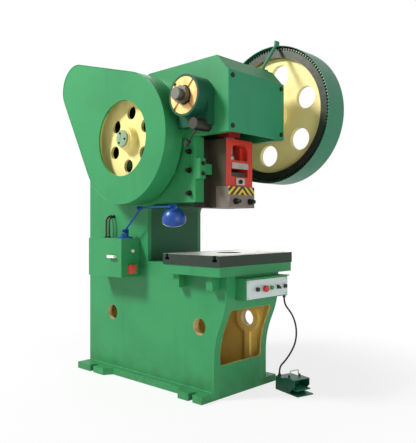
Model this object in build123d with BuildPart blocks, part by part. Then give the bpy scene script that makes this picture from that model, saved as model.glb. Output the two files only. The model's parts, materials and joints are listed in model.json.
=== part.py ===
from build123d import *
import os
from math import atan2, cos, pi, radians, sin, tan

# Deep-throat mechanical punch press: a flywheel and gear drive a crankshaft, which moves the slide.
# The origin is on the floor under the slide, +X is to the operator's right, -Y is the front, +Z is up.

# Fits, cuts and the turn that all pieces share
overrun = 5.0
seat_gap = 0.3
running_fit = 0.05
full_turn = 360.0

# Welded plate frame
plate = 30.0
frame_width = 508.0
frame_back = 1165.0
base_front = 103.0
bend_bottom = 225.0
bend_top_drop = 62.0
wall_thick = 12.0
wall_top_front = 205.0
throat_depth = 501.0
throat_corner = 60.0
guide_height = 405.0
guide_front = 55.0
head_drop = 220.0
head_front = 226.0
head_shoulder_rise = 143.0
head_top_rise = 239.0
head_top_front = 143.0
head_top_back = 465.0
seat_front = 900.0
motor_seat_rise = 86.0

# Base plate with four slotted pads
base_thick = 45.0
flange_width = 600.0
pad_reach = 361.0
front_pad_end = 100.0
rear_pad_start = 858.0
pad_slope = 38.0
notch_width = 38.0
notch_depth = 62.0
front_notch_y = -8.0
rear_notch_y = 992.0

# Openings in the frame
window_width = 400.0
window_bottom = 200.0
window_drop = 212.0
window_corner = 25.0
cross_hole = 105.0
cross_hole_z = 430.0
front_hole_y = 20.0
rear_hole_y = 887.0
ring_boss = 187.0
ring_boss_height = 18.0
rib_width = 42.0

# Table slab, brackets and bolster plate
table_height = 810.0
slab_thick = 58.0
slab_inset = 5.0
slab_front_inset = 4.0
bracket_inset = 33.0
bracket_thick = 51.0
bracket_drop = 84.0
front_bracket_y = -122.0
rear_bracket_y = 159.0
blank_hole = 160.0
bolster_width = 710.0
bolster_depth = 480.0
bolster_thick = 66.0
t_slot_width = 22.0
t_slot_head = 37.0
t_slot_head_height = 16.0
t_slot_depth = 38.0
t_slot_inset = 40.0
bolster_bolt = 20.0
bolster_bolt_inset = 55.0
bolster_bolt_head = 30.0
bolster_bolt_sink = 20.0

# Head cheeks, front cover and cover screws
cheek = 18.0
cover_thick = 10.0
screw_head = 26.0
screw_height = 7.0
screw_edge = 34.0

# Slide guide
channel_width = 354.0
channel_back = 190.0
guide_back = 230.0
gib_back = 135.0
gib_drop = 30.0
gib_top_space = 10.0
ridge_reach = 32.0
ridge_height = 70.0
ridge_flat = 20.0
keeper_width = 54.0
keeper_depth = 40.0
keeper_drop = 261.0
keeper_height = 126.0
tongue_height = 65.0
tongue_depth = 25.0
tongue_clear = 2.0
gib_bolt = 20.0
gib_bolt_head = 32.0
gib_bolt_reach = 34.0
gib_bolt_y = 100.0
gib_bolt_drops = (349.0, 207.0, 91.0)

# Slide, clamp block and knock-out bar
stroke = 100.0
slide_width = 256.0
slide_front = 89.0
slide_back = 150.0
slide_height = 429.0
slide_top_drop = 230.0
clamp_width = 248.0
clamp_front = 113.0
clamp_height = 134.0
clamp_gap = 0.5
shank_bore = 50.0
shank_depth = 70.0
stud_spacing = 140.0
stud_height = 39.0
stud_size = 24.0
stud_reach = 42.0
nut_size = 36.0
nut_height = 20.0
bar_slot_width = 160.0
bar_slot_rise = 195.0
bar_slot_height = 50.0
bar_height = 28.0
bar_depth = 30.0
bar_inset = 12.0
bar_clear = 1.0
ejector_hole = 24.0
slot_plate_height = 37.0
slot_plate_thick = 6.0
lock_plate_width = 84.0
lock_plate_height = 43.0
lock_plate_rise = 143.0
lock_plate_thick = 8.0
arch_width = 156.0
arch_rise = 298.0
arch_height = 96.0

# Crankshaft, its bearings and the connecting rod
crank_height = 1820.0
journal = 120.0
shaft_end = 105.0
stub = 75.0
boss_face = 407.0
boss_size = 250.0
boss_pad_width = 244.0
boss_pad_depth = 55.0
journal_recess = 14.0
shaft_shoulder = 441.0
stub_end = 478.0
bush_outside = 220.0
bush_notch = 22.0
bush_notch_depth = 8.0
right_boss_face = 402.0
bearing_inside = 200.0
crank_pin = 120.0
pin_length = 120.0
web_thick = 45.0
web_size = 150.0
rod_width = 112.0
rod_outside = 190.0
rod_lug_width = 250.0
rod_lug_height = 40.0
rod_neck = 84.0
rod_drop = 208.0
ball = 76.0
ball_drop = 340.0
screw_neck = 52.0
lock_nut = 76.0
lock_nut_height = 22.0
pocket_width = 96.0
pocket_floor = 12.0

# Gear, pinion, flywheel and their shaft
module = 7.0
gear_teeth = 130
pinion_teeth = 46
backlash = 1.2
root_share = 1.25
pressure_angle = 20.0
mesh_angle = 18.35
gear_inside = 450.0
gear_face = 100.0
rim_inner = 400.0
gear_web = 30.0
gear_hub = 220.0
gear_hub_reach = 40.0
gear_hole = 150.0
gear_hole_circle = 280.0
gear_hole_turn = 20.0
wheel_holes = 6
collar = 160.0
collar_thick = 25.0
drive_shaft = 80.0
pinion_bearing = 150.0
flywheel_size = 780.0
flywheel_face = 395.0
flywheel_rim_width = 110.0
flywheel_rim = 60.0
flywheel_web = 20.0
flywheel_web_x = 330.0
flywheel_hub = 150.0
flywheel_hub_front = 388.0
flywheel_hub_back = 290.0
flywheel_taper = 10.0
flywheel_hole = 90.0
flywheel_hole_circle = 178.0
flywheel_hole_turn = 5.0
hub_cap = 125.0
hub_cap_thick = 12.0
cap_bolt = 16.0
cap_bolt_spacing = 70.0

# Motor, pulley and belts
motor_back_y = 1108.0
motor_axis_height = 112.0
motor_plate_thick = 20.0
motor_size = 200.0
motor_face = 262.0
motor_length = 300.0
motor_foot_width = 190.0
motor_foot_thick = 14.0
motor_foot_inset = 50.0
motor_fins = 12
fin_height = 10.0
fin_thick = 6.0
fan_cover_length = 62.0
fan_cover_size = 208.0
motor_plate_overhang = 45.0
motor_shaft = 38.0
motor_bore_depth = 60.0
pulley_size = 126.0
pulley_groove = 11.0
belt_count = 3
belt_width = 17.0
belt_height = 11.0
belt_pitch = 25.0

# Sheet guards
sheet = 4.0
belt_guard_face = 413.0
belt_guard_radius = 436.0
belt_guard_motor_radius = 175.0
belt_guard_window = 500.0
window_lip = 14.0
guard_lug = 40.0
guard_lug_angles = (215.0, 285.0)
guard_tab_angle = 130.0
guard_tab = 50.0
gear_guard_inside = 429.0
gear_guard_outside = 617.0
gear_guard_radius = 476.0
pinion_guard_radius = 190.0
gear_guard_opening = 860.0
strap_size = 22.0
strap_foot_x = 197.0
strap_ear_y = -48.0
strap_ear = 42.0
strap_ear_thick = 14.0
strap_ear_rise = 34.0
strap_foot_y = -112.0
strap_foot = 60.0
strap_foot_thick = 8.0

# Clutch trip shaft and rod
trip_y = -70.0
trip_drop = 173.0
trip_size = 72.0
trip_end = 400.0
trip_rod = 12.0
trip_spigot = 36.0
trip_rod_drop = 88.0
trip_rod_back = 90.0
trip_knob = 34.0
trip_knob_height = 30.0
trip_rod_x = 345.0

# Switch cabinet
cabinet_front_y = 592.0
cabinet_length = 371.0
cabinet_bottom = 702.0
cabinet_height = 261.0
cabinet_depth = 140.0
cabinet_sheet = 3.0
door_thick = 12.0
hinge_pin = 9.0
hinge_lug = 40.0
handle_inset = 62.0
handle_length = 78.0
handle_width = 20.0
handle_thick = 12.0
handle_shank = 16.0
handle_standoff = 14.0
handle_z_share = 0.53
switch_width = 56.0
switch_height = 60.0
switch_thick = 24.0
switch_rise_share = 0.21
switch_grip_length = 40.0
switch_grip_width = 12.0
switch_grip_height = 14.0
switch_hub = 34.0
knob_size = 22.0
knob_reach = 26.0
knob_stem = 10.0
knob_rise_share = 0.68
conduit = 14.0
conduit_rise = 150.0
conduit_spacing = 34.0
conduit_inset = 60.0
conduit_reach = 44.0
conduit_bend = 34.0

# Control box under the table
box_left = -173.0
box_right = 244.0
box_height = 124.0
box_drop = 22.0
box_depth = 78.0
lid_thick = 6.0
lid_overhang = 12.0
panel_thick = 3.0
panel_margin = 6.0
first_button = 95.0
button_pitch = 70.0
button_size = 26.0
button_ring = 34.0
button_ring_height = 6.0
button_height = 9.0
button_sink = 6.0
button_travel = 5.0
mushroom_size = 40.0
mushroom_height = 22.0
selector_grip = 11.0
selector_height = 16.0

# Foot pedal
pedal_x = 235.0
pedal_y = -341.0
pedal_turn = -15.0
pedal_length = 215.0
pedal_width = 126.0
pedal_base = 7.0
pedal_wall = 5.0
pedal_box_height = 86.0
pedal_box_length = 84.0
hood_height = 96.0
hood_setback = 34.0
hood_rise = 10.0
hood_lip = 54.0
hood_side = 40.0
treadle_thick = 8.0
treadle_pin = 10.0
treadle_pin_height = 28.0
treadle_pin_inset = 12.0
treadle_clear = 3.0
treadle_front = 18.0
wire = 6.0
wire_rise = 32.0
wire_length = 66.0
wire_ear = 14.0
wire_ear_thick = 6.0
wire_setback = 26.0

# Pedal lead
cord_size = 11.0
gland_size = 22.0
gland_height = 18.0
gland_inset = 13.0
lead_straight = 40.0
lead_bulge = 94.0
lead_way_shares = (0.66, -0.75)
lead_drop_bulge_shares = (
    (0.20, 0.55), (0.33, 0.87), (0.47, 1.00), (0.61, 0.94), (0.74, 0.66), (0.85, 0.29),
)
pedal_gland_x = -45.0
pedal_gland_y = 90.0

# Work lamp
lamp_x = -332.0
lamp_y = 650.0
lamp_flange = 110.0
lamp_flange_thick = 12.0
lamp_hub = 50.0
lamp_hub_height = 22.0
lamp_pivot_rise = 16.0
lamp_pin = 8.0
lamp_arm = 12.0
lamp_knuckle = 24.0
lamp_knuckle_width = 16.0
elbow_y = 479.0
elbow_drop = 30.0
neck_y = 169.0
neck_drop = 29.0
shade_size = 150.0
shade_height = 84.0
shade_neck = 40.0
shade_wall = 2.5
shade_aim_shares = (0.40, 0.34, -0.85)
shade_shoulder_shares = (0.80, 0.34)
bulb_size = 56.0
socket_length = 34.0

# Places worked out from the sizes above
half_frame = frame_width / 2
half_inside = half_frame - plate
half_head = half_frame + cheek
slab_bottom = table_height - slab_thick
slab_width = bolster_width - 2 * slab_inset
slab_front = bolster_depth / 2 - slab_front_inset
slab_back = bolster_depth / 2
bracket_reach = slab_width / 2 - half_frame - bracket_inset
t_slot_spacing = bolster_depth - 2 * t_slot_inset
bolster_bolt_x = bolster_width / 2 - bolster_bolt_inset
bend_top = slab_bottom - bend_top_drop
window_top = slab_bottom - window_drop
box_top = slab_bottom - box_drop
box_bottom = box_top - box_height
head_bottom = crank_height - head_drop
head_shoulder = crank_height + head_shoulder_rise
head_top = crank_height + head_top_rise
motor_seat = crank_height + motor_seat_rise
throat_top = head_bottom - guide_height
keeper_bottom = head_bottom - keeper_drop
slide_top = crank_height - slide_top_drop
slide_bottom = slide_top - slide_height
bar_slot_bottom = slide_bottom + bar_slot_rise
lock_plate_bottom = slide_bottom + lock_plate_rise
arch_bottom = slide_bottom + arch_rise
rod_bottom = crank_height - rod_drop
ball_height = crank_height - ball_drop
trip_z = crank_height - trip_drop
elbow_z = throat_top - elbow_drop
neck_z = throat_top - neck_drop
bolster_top = table_height + bolster_thick
half_channel = channel_width / 2
half_slide = slide_width / 2
throw = stroke / 2
pin_height = crank_height + throw
center_distance = module * (gear_teeth + pinion_teeth) / 2
drive_y = center_distance * cos(radians(mesh_angle))
drive_z = crank_height - center_distance * sin(radians(mesh_angle))
crank_axis = (0, crank_height)
drive_axis = (drive_y, drive_z)
motor_height = motor_seat + motor_plate_thick + motor_axis_height
motor_axis = (motor_back_y, motor_height)
bend_turn = 2 * atan2(wall_top_front - base_front, bend_top - bend_bottom)
guard_tab_circle = belt_guard_radius - guard_tab / 2 - sheet / 2
door_face = -half_frame - cabinet_depth - door_thick
box_back = -wall_top_front
box_front = box_back - box_depth


def save(piece, name):
    """Label a finished piece and write it to its own file."""
    piece.part.label = name
    export_step(piece.part, f"parts/{name}.step")


def rod_x(x_from, x_to, at, size, mode=Mode.ADD):
    """Add or cut a round bar along X, centred on at, a (Y, Z) place."""
    with BuildSketch(Plane.YZ.offset(x_from)) as section:
        with Locations(at):
            Circle(size / 2)
    extrude(section.sketch, amount=x_to - x_from, mode=mode)


def rod_y(y_from, y_to, at, size, mode=Mode.ADD):
    """Add or cut a round bar along Y, centred on at, an (X, Z) place."""
    with BuildSketch(Plane.XZ.offset(-y_from)) as section:
        with Locations(at):
            Circle(size / 2)
    extrude(section.sketch, amount=y_from - y_to, mode=mode)


def rod_z(z_from, z_to, at, size, mode=Mode.ADD):
    """Add or cut a round bar along Z, centred on at, an (X, Y) place."""
    with BuildSketch(Plane.XY.offset(z_from)) as section:
        with Locations(at):
            Circle(size / 2)
    extrude(section.sketch, amount=z_to - z_from, mode=mode)


def nut_x(x_from, x_to, at, size):
    """Add a six-sided nut or bolt head along X, measured across its flats."""
    with BuildSketch(Plane.YZ.offset(x_from)) as section:
        with Locations(at):
            RegularPolygon(size / 2, side_count=6, major_radius=False)
    extrude(section.sketch, amount=x_to - x_from)


def nut_y(y_from, y_to, at, size):
    """Add a six-sided nut or bolt head along Y, measured across its flats."""
    with BuildSketch(Plane.XZ.offset(-y_from)) as section:
        with Locations(at):
            RegularPolygon(size / 2, side_count=6, major_radius=False)
    extrude(section.sketch, amount=y_from - y_to)


def block(x_from, x_to, y_from, y_to, z_from, z_to, mode=Mode.ADD):
    """Add or cut a rectangular block between two opposite corners."""
    with Locations(((x_from + x_to) / 2, (y_from + y_to) / 2, (z_from + z_to) / 2)):
        Box(abs(x_to - x_from), abs(y_to - y_from), abs(z_to - z_from), mode=mode)


def hull_x(x_from, x_to, circles, mode=Mode.ADD):
    """Add or cut a belt-shaped prism along X round two circles, each a (place, radius) pair."""
    with BuildSketch(Plane.YZ.offset(x_from)) as section:
        with BuildLine():
            for at, radius in circles:
                CenterArc(at, radius, start_angle=0, arc_size=full_turn)
        make_hull()
    extrude(section.sketch, amount=x_to - x_from, mode=mode)


def wall_curve():
    """Draw the outer face of the front wall, an S-bend between two upright runs."""
    lower = (-base_front, bend_bottom)
    middle = (-(base_front + wall_top_front) / 2, (bend_bottom + bend_top) / 2)
    upper = (-wall_top_front, bend_top)
    Line((-base_front, base_thick), lower)
    TangentArc(lower, middle, tangent=(0, 1))
    TangentArc(middle, upper, tangent=(-sin(bend_turn), cos(bend_turn)))
    Line(upper, (-wall_top_front, slab_bottom))


os.makedirs("parts", exist_ok=True)

# Base plate: one side of its outline is drawn and mirrored, and each pad has an open slot
with BuildPart() as base_plate:
    with BuildSketch():
        with BuildLine():
            Polyline(
                (0, -base_front),
                (pad_reach, -base_front),
                (pad_reach, front_pad_end),
                (flange_width / 2, front_pad_end + pad_slope),
                (flange_width / 2, rear_pad_start - pad_slope),
                (pad_reach, rear_pad_start),
                (pad_reach, frame_back),
                (0, frame_back),
                close=True,
            )
        make_face()
        with Locations((pad_reach, front_notch_y), (pad_reach, rear_notch_y)):
            SlotOverall(2 * notch_depth, notch_width, mode=Mode.SUBTRACT)
        mirror(about=Plane.YZ)
    extrude(amount=base_thick)
save(base_plate, "base_plate")


def side_plate(side):
    """One side plate, cut to the outline of the whole C-shaped frame and thicker along the head."""
    with BuildPart() as piece:
        with BuildSketch(Plane.YZ.offset(side * half_frame)):
            with BuildLine():
                wall_curve()
                Polyline(
                    (-wall_top_front, slab_bottom),
                    (slab_back, slab_bottom),
                    (slab_back, table_height),
                    (throat_depth, table_height),
                    (throat_depth, throat_top - throat_corner),
                )
                TangentArc(
                    (throat_depth, throat_top - throat_corner),
                    (throat_depth - throat_corner, throat_top),
                    tangent=(0, 1),
                )
                Polyline(
                    (throat_depth - throat_corner, throat_top),
                    (guide_front, throat_top),
                    (guide_front, head_bottom),
                    (-head_front, head_bottom),
                    (-head_front, head_shoulder),
                    (-head_top_front, head_top),
                    (head_top_back, head_top),
                    (seat_front, motor_seat),
                    (frame_back, motor_seat),
                    (frame_back, base_thick),
                    (-base_front, base_thick),
                )
            make_face()
            with Locations((front_hole_y, cross_hole_z), (rear_hole_y, cross_hole_z)):
                Circle(cross_hole / 2, mode=Mode.SUBTRACT)
            with Locations(crank_axis):
                Circle(boss_size / 2 + seat_gap, mode=Mode.SUBTRACT)
            with Locations(drive_axis):
                Circle(pinion_bearing / 2 + seat_gap, mode=Mode.SUBTRACT)
            if side < 0:
                with Locations((trip_y, trip_z)):
                    Circle(trip_spigot / 2 + running_fit, mode=Mode.SUBTRACT)
        extrude(amount=-side * plate)
        with BuildSketch(Plane.YZ.offset(side * half_inside)):
            with Locations((front_hole_y, cross_hole_z)):
                Circle(ring_boss / 2)
            with Locations((front_hole_y, (base_thick + cross_hole_z) / 2)):
                Rectangle(rib_width, cross_hole_z - base_thick)
            with Locations((front_hole_y, cross_hole_z)):
                Circle(cross_hole / 2, mode=Mode.SUBTRACT)
        extrude(amount=-side * ring_boss_height)
        with BuildSketch(Plane.YZ.offset(side * half_frame)):
            with BuildLine():
                Polyline(
                    (-head_front, head_bottom),
                    (-head_front, head_shoulder),
                    (-head_top_front, head_top),
                    (head_top_back, head_top),
                    (seat_front, motor_seat),
                    (frame_back, motor_seat),
                    (frame_back, head_bottom),
                    close=True,
                )
            make_face()
            with Locations(crank_axis):
                Circle(boss_size / 2 + seat_gap, mode=Mode.SUBTRACT)
            with Locations(drive_axis):
                Circle(pinion_bearing / 2 + seat_gap, mode=Mode.SUBTRACT)
            if side < 0:
                with Locations((trip_y, trip_z)):
                    Circle(trip_spigot / 2 + running_fit, mode=Mode.SUBTRACT)
                with Locations(drive_axis):
                    for angle in guard_lug_angles:
                        with PolarLocations(guard_tab_circle, 1, start_angle=angle):
                            Circle(guard_lug / 2)
        extrude(amount=side * cheek)
    return piece


for side, hand in ((-1, "left"), (1, "right")):
    save(side_plate(side), f"side_plate_{hand}")

# Front wall with its window, bent forward to meet the table
with BuildPart() as front_wall:
    with BuildSketch(Plane.YZ.offset(-half_inside)):
        with BuildLine():
            wall_curve()
            offset(amount=wall_thick, side=Side.RIGHT)
        make_face()
    extrude(amount=2 * half_inside)
    with BuildSketch(Plane.XZ.offset(wall_top_front + overrun)):
        with Locations((0, (window_bottom + window_top) / 2)):
            RectangleRounded(window_width, window_top - window_bottom, window_corner)
    extrude(amount=-(wall_top_front + wall_thick + 2 * overrun), mode=Mode.SUBTRACT)
save(front_wall, "front_wall")

# Back plate of the column, under the motor seat
with BuildPart() as rear_plate:
    block(-half_inside, half_inside, frame_back - plate, frame_back, base_thick, motor_seat - plate)
save(rear_plate, "rear_plate")

# Throat plate: back and ceiling of the throat, folded from one plate
with BuildPart() as throat_plate:
    with BuildSketch(Plane.YZ.offset(-half_inside)):
        with BuildLine():
            FilletPolyline(
                (throat_depth, table_height),
                (throat_depth, throat_top),
                (guide_back, throat_top),
                radius=throat_corner,
            )
            offset(amount=plate, side=Side.RIGHT)
        make_face()
    extrude(amount=2 * half_inside)
save(throat_plate, "throat_plate")

# Top plate: chamfer, flat, slope and the seat with the motor's plate
motor_back = -motor_face + motor_length
foot_bottom = motor_seat + motor_plate_thick
with BuildPart() as top_plate:
    with BuildSketch(Plane.YZ.offset(-half_inside)):
        with BuildLine():
            Polyline(
                (-head_front, head_shoulder),
                (-head_top_front, head_top),
                (head_top_back, head_top),
                (seat_front, motor_seat),
                (frame_back, motor_seat),
            )
            offset(amount=plate, side=Side.RIGHT)
        make_face()
    extrude(amount=2 * half_inside)
    block(-half_frame, motor_back, seat_front + motor_plate_overhang, frame_back + motor_plate_overhang,
          motor_seat, foot_bottom)
save(top_plate, "top_plate")

# Table slab, wide under the bolster and narrow back to the throat, on two bracket blocks a side
with BuildPart() as table_slab:
    block(-slab_width / 2, slab_width / 2, -slab_front, slab_back, slab_bottom, table_height)
    block(-half_inside, half_inside, slab_back, throat_depth + plate, table_height - plate, table_height)
    rod_z(slab_bottom - overrun, table_height + overrun, (0, 0), blank_hole, Mode.SUBTRACT)
    for y in (front_bracket_y, rear_bracket_y):
        for x in (-half_frame - bracket_reach, half_frame):
            block(x, x + bracket_reach, y - bracket_thick / 2, y + bracket_thick / 2,
                  slab_bottom - bracket_drop, slab_bottom)
save(table_slab, "table_slab")

# Bolster plate with two T-slots along X, a blank hole and four sunk bolts
with BuildPart() as bolster_plate:
    block(-bolster_width / 2, bolster_width / 2, -bolster_depth / 2, bolster_depth / 2,
          table_height, bolster_top)
    with BuildSketch(Plane.YZ.offset(-bolster_width / 2 - overrun)):
        for y in (-t_slot_spacing / 2, t_slot_spacing / 2):
            with Locations((y, bolster_top + overrun)):
                Rectangle(t_slot_width, t_slot_depth + overrun, align=(Align.CENTER, Align.MAX))
            with Locations((y, bolster_top - t_slot_depth)):
                Rectangle(t_slot_head, t_slot_head_height, align=(Align.CENTER, Align.MIN))
    extrude(amount=bolster_width + 2 * overrun, mode=Mode.SUBTRACT)
    rod_z(table_height - overrun, bolster_top + overrun, (0, 0), blank_hole, Mode.SUBTRACT)
    for x in (-bolster_bolt_x, bolster_bolt_x):
        rod_z(bolster_top - bolster_bolt_sink, bolster_top + overrun, (x, 0),
              bolster_bolt_head + 2 * seat_gap, Mode.SUBTRACT)
save(bolster_plate, "bolster_plate")

# Front cover of the head and its four corner screws
with BuildPart() as front_cover:
    block(-half_head, half_head, -head_front - cover_thick, -head_front, head_bottom, head_shoulder)
    chamfer(front_cover.faces().sort_by(Axis.Y)[0].edges(), cover_thick / 5)
save(front_cover, "front_cover")

# Guide block: a U-shaped channel for the slide and its gibs
with BuildPart() as guide_block:
    with BuildSketch(Plane.XY.offset(throat_top)):
        with BuildLine():
            Polyline(
                (half_channel, guide_front),
                (half_inside, guide_front),
                (half_inside, guide_back),
                (-half_inside, guide_back),
                (-half_inside, guide_front),
                (-half_channel, guide_front),
                (-half_channel, channel_back),
                (half_channel, channel_back),
                close=True,
            )
        make_face()
    extrude(amount=head_bottom - throat_top)
save(guide_block, "guide_block")

ridge_y = (guide_front + gib_back) / 2


def guide_ridge(reach_from, reach_to, spare):
    """Corner points, front to back, of the V-ridge that runs in a gib."""
    return [
        (reach_from, ridge_y - ridge_height / 2 - spare),
        (reach_to, ridge_y - ridge_flat / 2 - spare),
        (reach_to, ridge_y + ridge_flat / 2 + spare),
        (reach_from, ridge_y + ridge_height / 2 + spare),
    ]


# Two gib bars with V-grooves for the slide's ridges
gib_inner = half_slide + seat_gap
with BuildPart() as gibs:
    with BuildSketch(Plane.XY.offset(throat_top - gib_drop)):
        with BuildLine():
            Polyline(
                (half_channel, guide_front),
                (gib_inner, guide_front),
                *guide_ridge(gib_inner, gib_inner + ridge_reach, seat_gap),
                (gib_inner, gib_back),
                (half_channel, gib_back),
                close=True,
            )
        make_face()
        mirror(about=Plane.YZ)
    extrude(amount=head_bottom - gib_top_space - throat_top + gib_drop)
save(gibs, "gibs")

# Two keeper blocks whose tongues hold the gibs from the front
with BuildPart() as gib_keepers:
    for side in (-1, 1):
        block(side * half_frame, side * (half_frame - keeper_width), guide_front - keeper_depth,
              guide_front, keeper_bottom, keeper_bottom + keeper_height)
        block(side * (half_frame - keeper_width), side * (half_slide + tongue_clear),
              guide_front - tongue_depth, guide_front,
              keeper_bottom + (keeper_height - tongue_height) / 2,
              keeper_bottom + (keeper_height + tongue_height) / 2)
    chamfer(gib_keepers.edges().filter_by(Axis.Z).group_by(Axis.Y)[0], screw_height / 2)
save(gib_keepers, "gib_keepers")

# Fasteners of the frame: bolster bolts, cover screws, keeper bolts and the gib adjusting bolts
keeper_bolt_x = half_frame - keeper_width / 2
with BuildPart() as frame_fasteners:
    for x in (-bolster_bolt_x, bolster_bolt_x):
        rod_z(bolster_top - bolster_bolt_sink, bolster_top - bolster_bolt_sink + bolster_bolt, (x, 0),
              bolster_bolt_head)
    for x in (-half_head + screw_edge, half_head - screw_edge):
        for z in (head_bottom + screw_edge, head_shoulder - screw_edge):
            nut_y(-head_front - cover_thick, -head_front - cover_thick - screw_height, (x, z), screw_head)
    for side in (-1, 1):
        for z in (keeper_bottom + keeper_height / 4, keeper_bottom + 3 * keeper_height / 4):
            nut_y(guide_front - keeper_depth, guide_front - keeper_depth - screw_height,
                  (side * keeper_bolt_x, z), screw_head)
        for z in (head_bottom - drop for drop in gib_bolt_drops):
            nut_x(side * half_frame, side * (half_frame + gib_bolt_reach / 2), (gib_bolt_y, z),
                  gib_bolt_head)
            rod_x(side * (half_frame + gib_bolt_reach / 2), side * (half_frame + gib_bolt_reach),
                  (gib_bolt_y, z), gib_bolt)
save(frame_fasteners, "frame_fasteners")

# Slide: a body with V-ridges, cut for the ball pocket, arch window, knock-out slot and tool shank
pocket_front = -ball / 2 - pocket_floor
pocket_back = throw + ball / 2 + pocket_floor
pocket_bottom = ball_height - ball / 2 - pocket_floor
bar_slot_top = bar_slot_bottom + bar_slot_height
clamp_top = slide_bottom + clamp_height

with BuildPart() as slide:
    with BuildSketch(Plane.XY.offset(slide_bottom)):
        with BuildLine():
            Polyline(
                (0, -slide_front),
                (half_slide, -slide_front),
                *guide_ridge(half_slide, half_slide + ridge_reach, 0),
                (half_slide, slide_back),
                (0, slide_back),
                close=True,
            )
        make_face()
        mirror(about=Plane.YZ)
    extrude(amount=slide_top - slide_bottom)
    block(-pocket_width / 2, pocket_width / 2, pocket_front, pocket_back, pocket_bottom,
          slide_top + overrun, Mode.SUBTRACT)
    with BuildSketch(Plane.XZ.offset(-pocket_front)):
        with Locations((0, arch_bottom + arch_height / 2)):
            RectangleRounded(arch_width, arch_height, arch_height / 2 - overrun)
        with Locations((0, arch_bottom)):
            Rectangle(arch_width, arch_height / 2, align=(Align.CENTER, Align.MIN))
    extrude(amount=slide_front + pocket_front + overrun, mode=Mode.SUBTRACT)
    block(-bar_slot_width / 2, bar_slot_width / 2, -slide_front - overrun, slide_back + overrun,
          bar_slot_bottom, bar_slot_top, Mode.SUBTRACT)
    block(-half_slide - overrun, half_slide + overrun, -slide_front - overrun, 0,
          slide_bottom - overrun, clamp_top, Mode.SUBTRACT)
    rod_z(slide_bottom - overrun, slide_bottom + shank_depth, (0, 0), shank_bore, Mode.SUBTRACT)
    rod_z(slide_bottom, bar_slot_bottom + overrun, (0, 0), ejector_hole, Mode.SUBTRACT)
save(slide, "slide")

# Clamp block: the front half of the shank bore, with two studs and nuts
with BuildPart() as clamp_block:
    block(-clamp_width / 2, clamp_width / 2, -clamp_front, -clamp_gap,
          slide_bottom, clamp_top - clamp_gap)
    chamfer(clamp_block.faces().sort_by(Axis.Y)[0].edges(), nut_height / 4)
    rod_z(slide_bottom - overrun, slide_bottom + shank_depth, (0, 0), shank_bore, Mode.SUBTRACT)
    for x in (-stud_spacing / 2, stud_spacing / 2):
        rod_y(-clamp_front - overrun, overrun, (x, slide_bottom + stud_height),
              stud_size + 2 * seat_gap, Mode.SUBTRACT)
save(clamp_block, "clamp_block")

with BuildPart() as clamp_studs:
    for x in (-stud_spacing / 2, stud_spacing / 2):
        at = (x, slide_bottom + stud_height)
        rod_y(-clamp_front - stud_reach, 0, at, stud_size)
        nut_y(-clamp_front - nut_height, -clamp_front, at, nut_size)
save(clamp_studs, "clamp_studs")

# Knock-out bar, loose in its slot, with the plates on the slide's front
with BuildPart() as knockout_bar:
    block(-bar_slot_width / 2 + bar_clear, bar_slot_width / 2 - bar_clear, -slide_front + bar_inset,
          slide_back - bar_inset, bar_slot_bottom, bar_slot_bottom + bar_height)
    chamfer(knockout_bar.edges().filter_by(Axis.Z), bar_height / 4)
save(knockout_bar, "knockout_bar")

with BuildPart() as slide_plates:
    block(-bar_slot_width / 2, bar_slot_width / 2, -slide_front - slot_plate_thick, -slide_front,
          bar_slot_top, bar_slot_top + slot_plate_height)
    block(-lock_plate_width / 2, lock_plate_width / 2, -slide_front - lock_plate_thick, -slide_front,
          lock_plate_bottom, lock_plate_bottom + lock_plate_height)
    fillet(slide_plates.edges().filter_by(Axis.Y), slot_plate_thick / 2)
    nut_y(-slide_front - lock_plate_thick, -slide_front - 2 * lock_plate_thick,
          (0, lock_plate_bottom + lock_plate_height / 2), screw_head)
save(slide_plates, "slide_plates")

# Crankshaft: two journals, two webs, the pin between them, a stepped left end and a collar for the gear
pin_axis = (0, pin_height)
web_inner = pin_length / 2
web_outer = web_inner + web_thick
collar_inside = gear_inside + gear_face + gear_hub_reach / 4
shaft_right_end = collar_inside + collar_thick + journal_recess

with BuildPart() as crankshaft:
    rod_x(-boss_face + journal_recess, -web_outer, crank_axis, journal)
    rod_x(-shaft_shoulder, -boss_face + journal_recess, crank_axis, shaft_end)
    rod_x(-stub_end, -shaft_shoulder, crank_axis, stub)
    rod_x(web_outer, right_boss_face, crank_axis, journal)
    rod_x(right_boss_face, shaft_right_end, crank_axis, shaft_end)
    rod_x(collar_inside, collar_inside + collar_thick, crank_axis, collar)
    for side in (-1, 1):
        hull_x(side * web_inner, side * web_outer,
               ((crank_axis, web_size / 2), (pin_axis, web_size / 2)))
    rod_x(-web_inner, web_inner, pin_axis, crank_pin)
    chamfer(crankshaft.faces().sort_by(Axis.X)[0].edges(), journal_recess / 4)
save(crankshaft, "crankshaft")

# Crank bearings: the left housing stands on a U-shaped pad that runs down to the trip shaft
with BuildPart() as crank_bearings:
    rod_x(-boss_face, -bearing_inside, crank_axis, boss_size)
    with BuildSketch(Plane.YZ.offset(-half_head)):
        with Locations(crank_axis):
            Circle(boss_pad_width / 2)
            Rectangle(boss_pad_width, crank_height - trip_z, align=(Align.CENTER, Align.MAX))
        with Locations((trip_y, trip_z)):
            Circle(trip_size / 2 + seat_gap, mode=Mode.SUBTRACT)
    extrude(amount=-boss_pad_depth)
    rod_x(-boss_face - overrun, -bearing_inside + overrun, crank_axis, bush_outside + 2 * seat_gap,
          Mode.SUBTRACT)
    rod_x(bearing_inside, right_boss_face, crank_axis, boss_size)
    rod_x(bearing_inside - overrun, right_boss_face + overrun, crank_axis,
          bush_outside + 2 * seat_gap, Mode.SUBTRACT)
save(crank_bearings, "crank_bearings")


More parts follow.
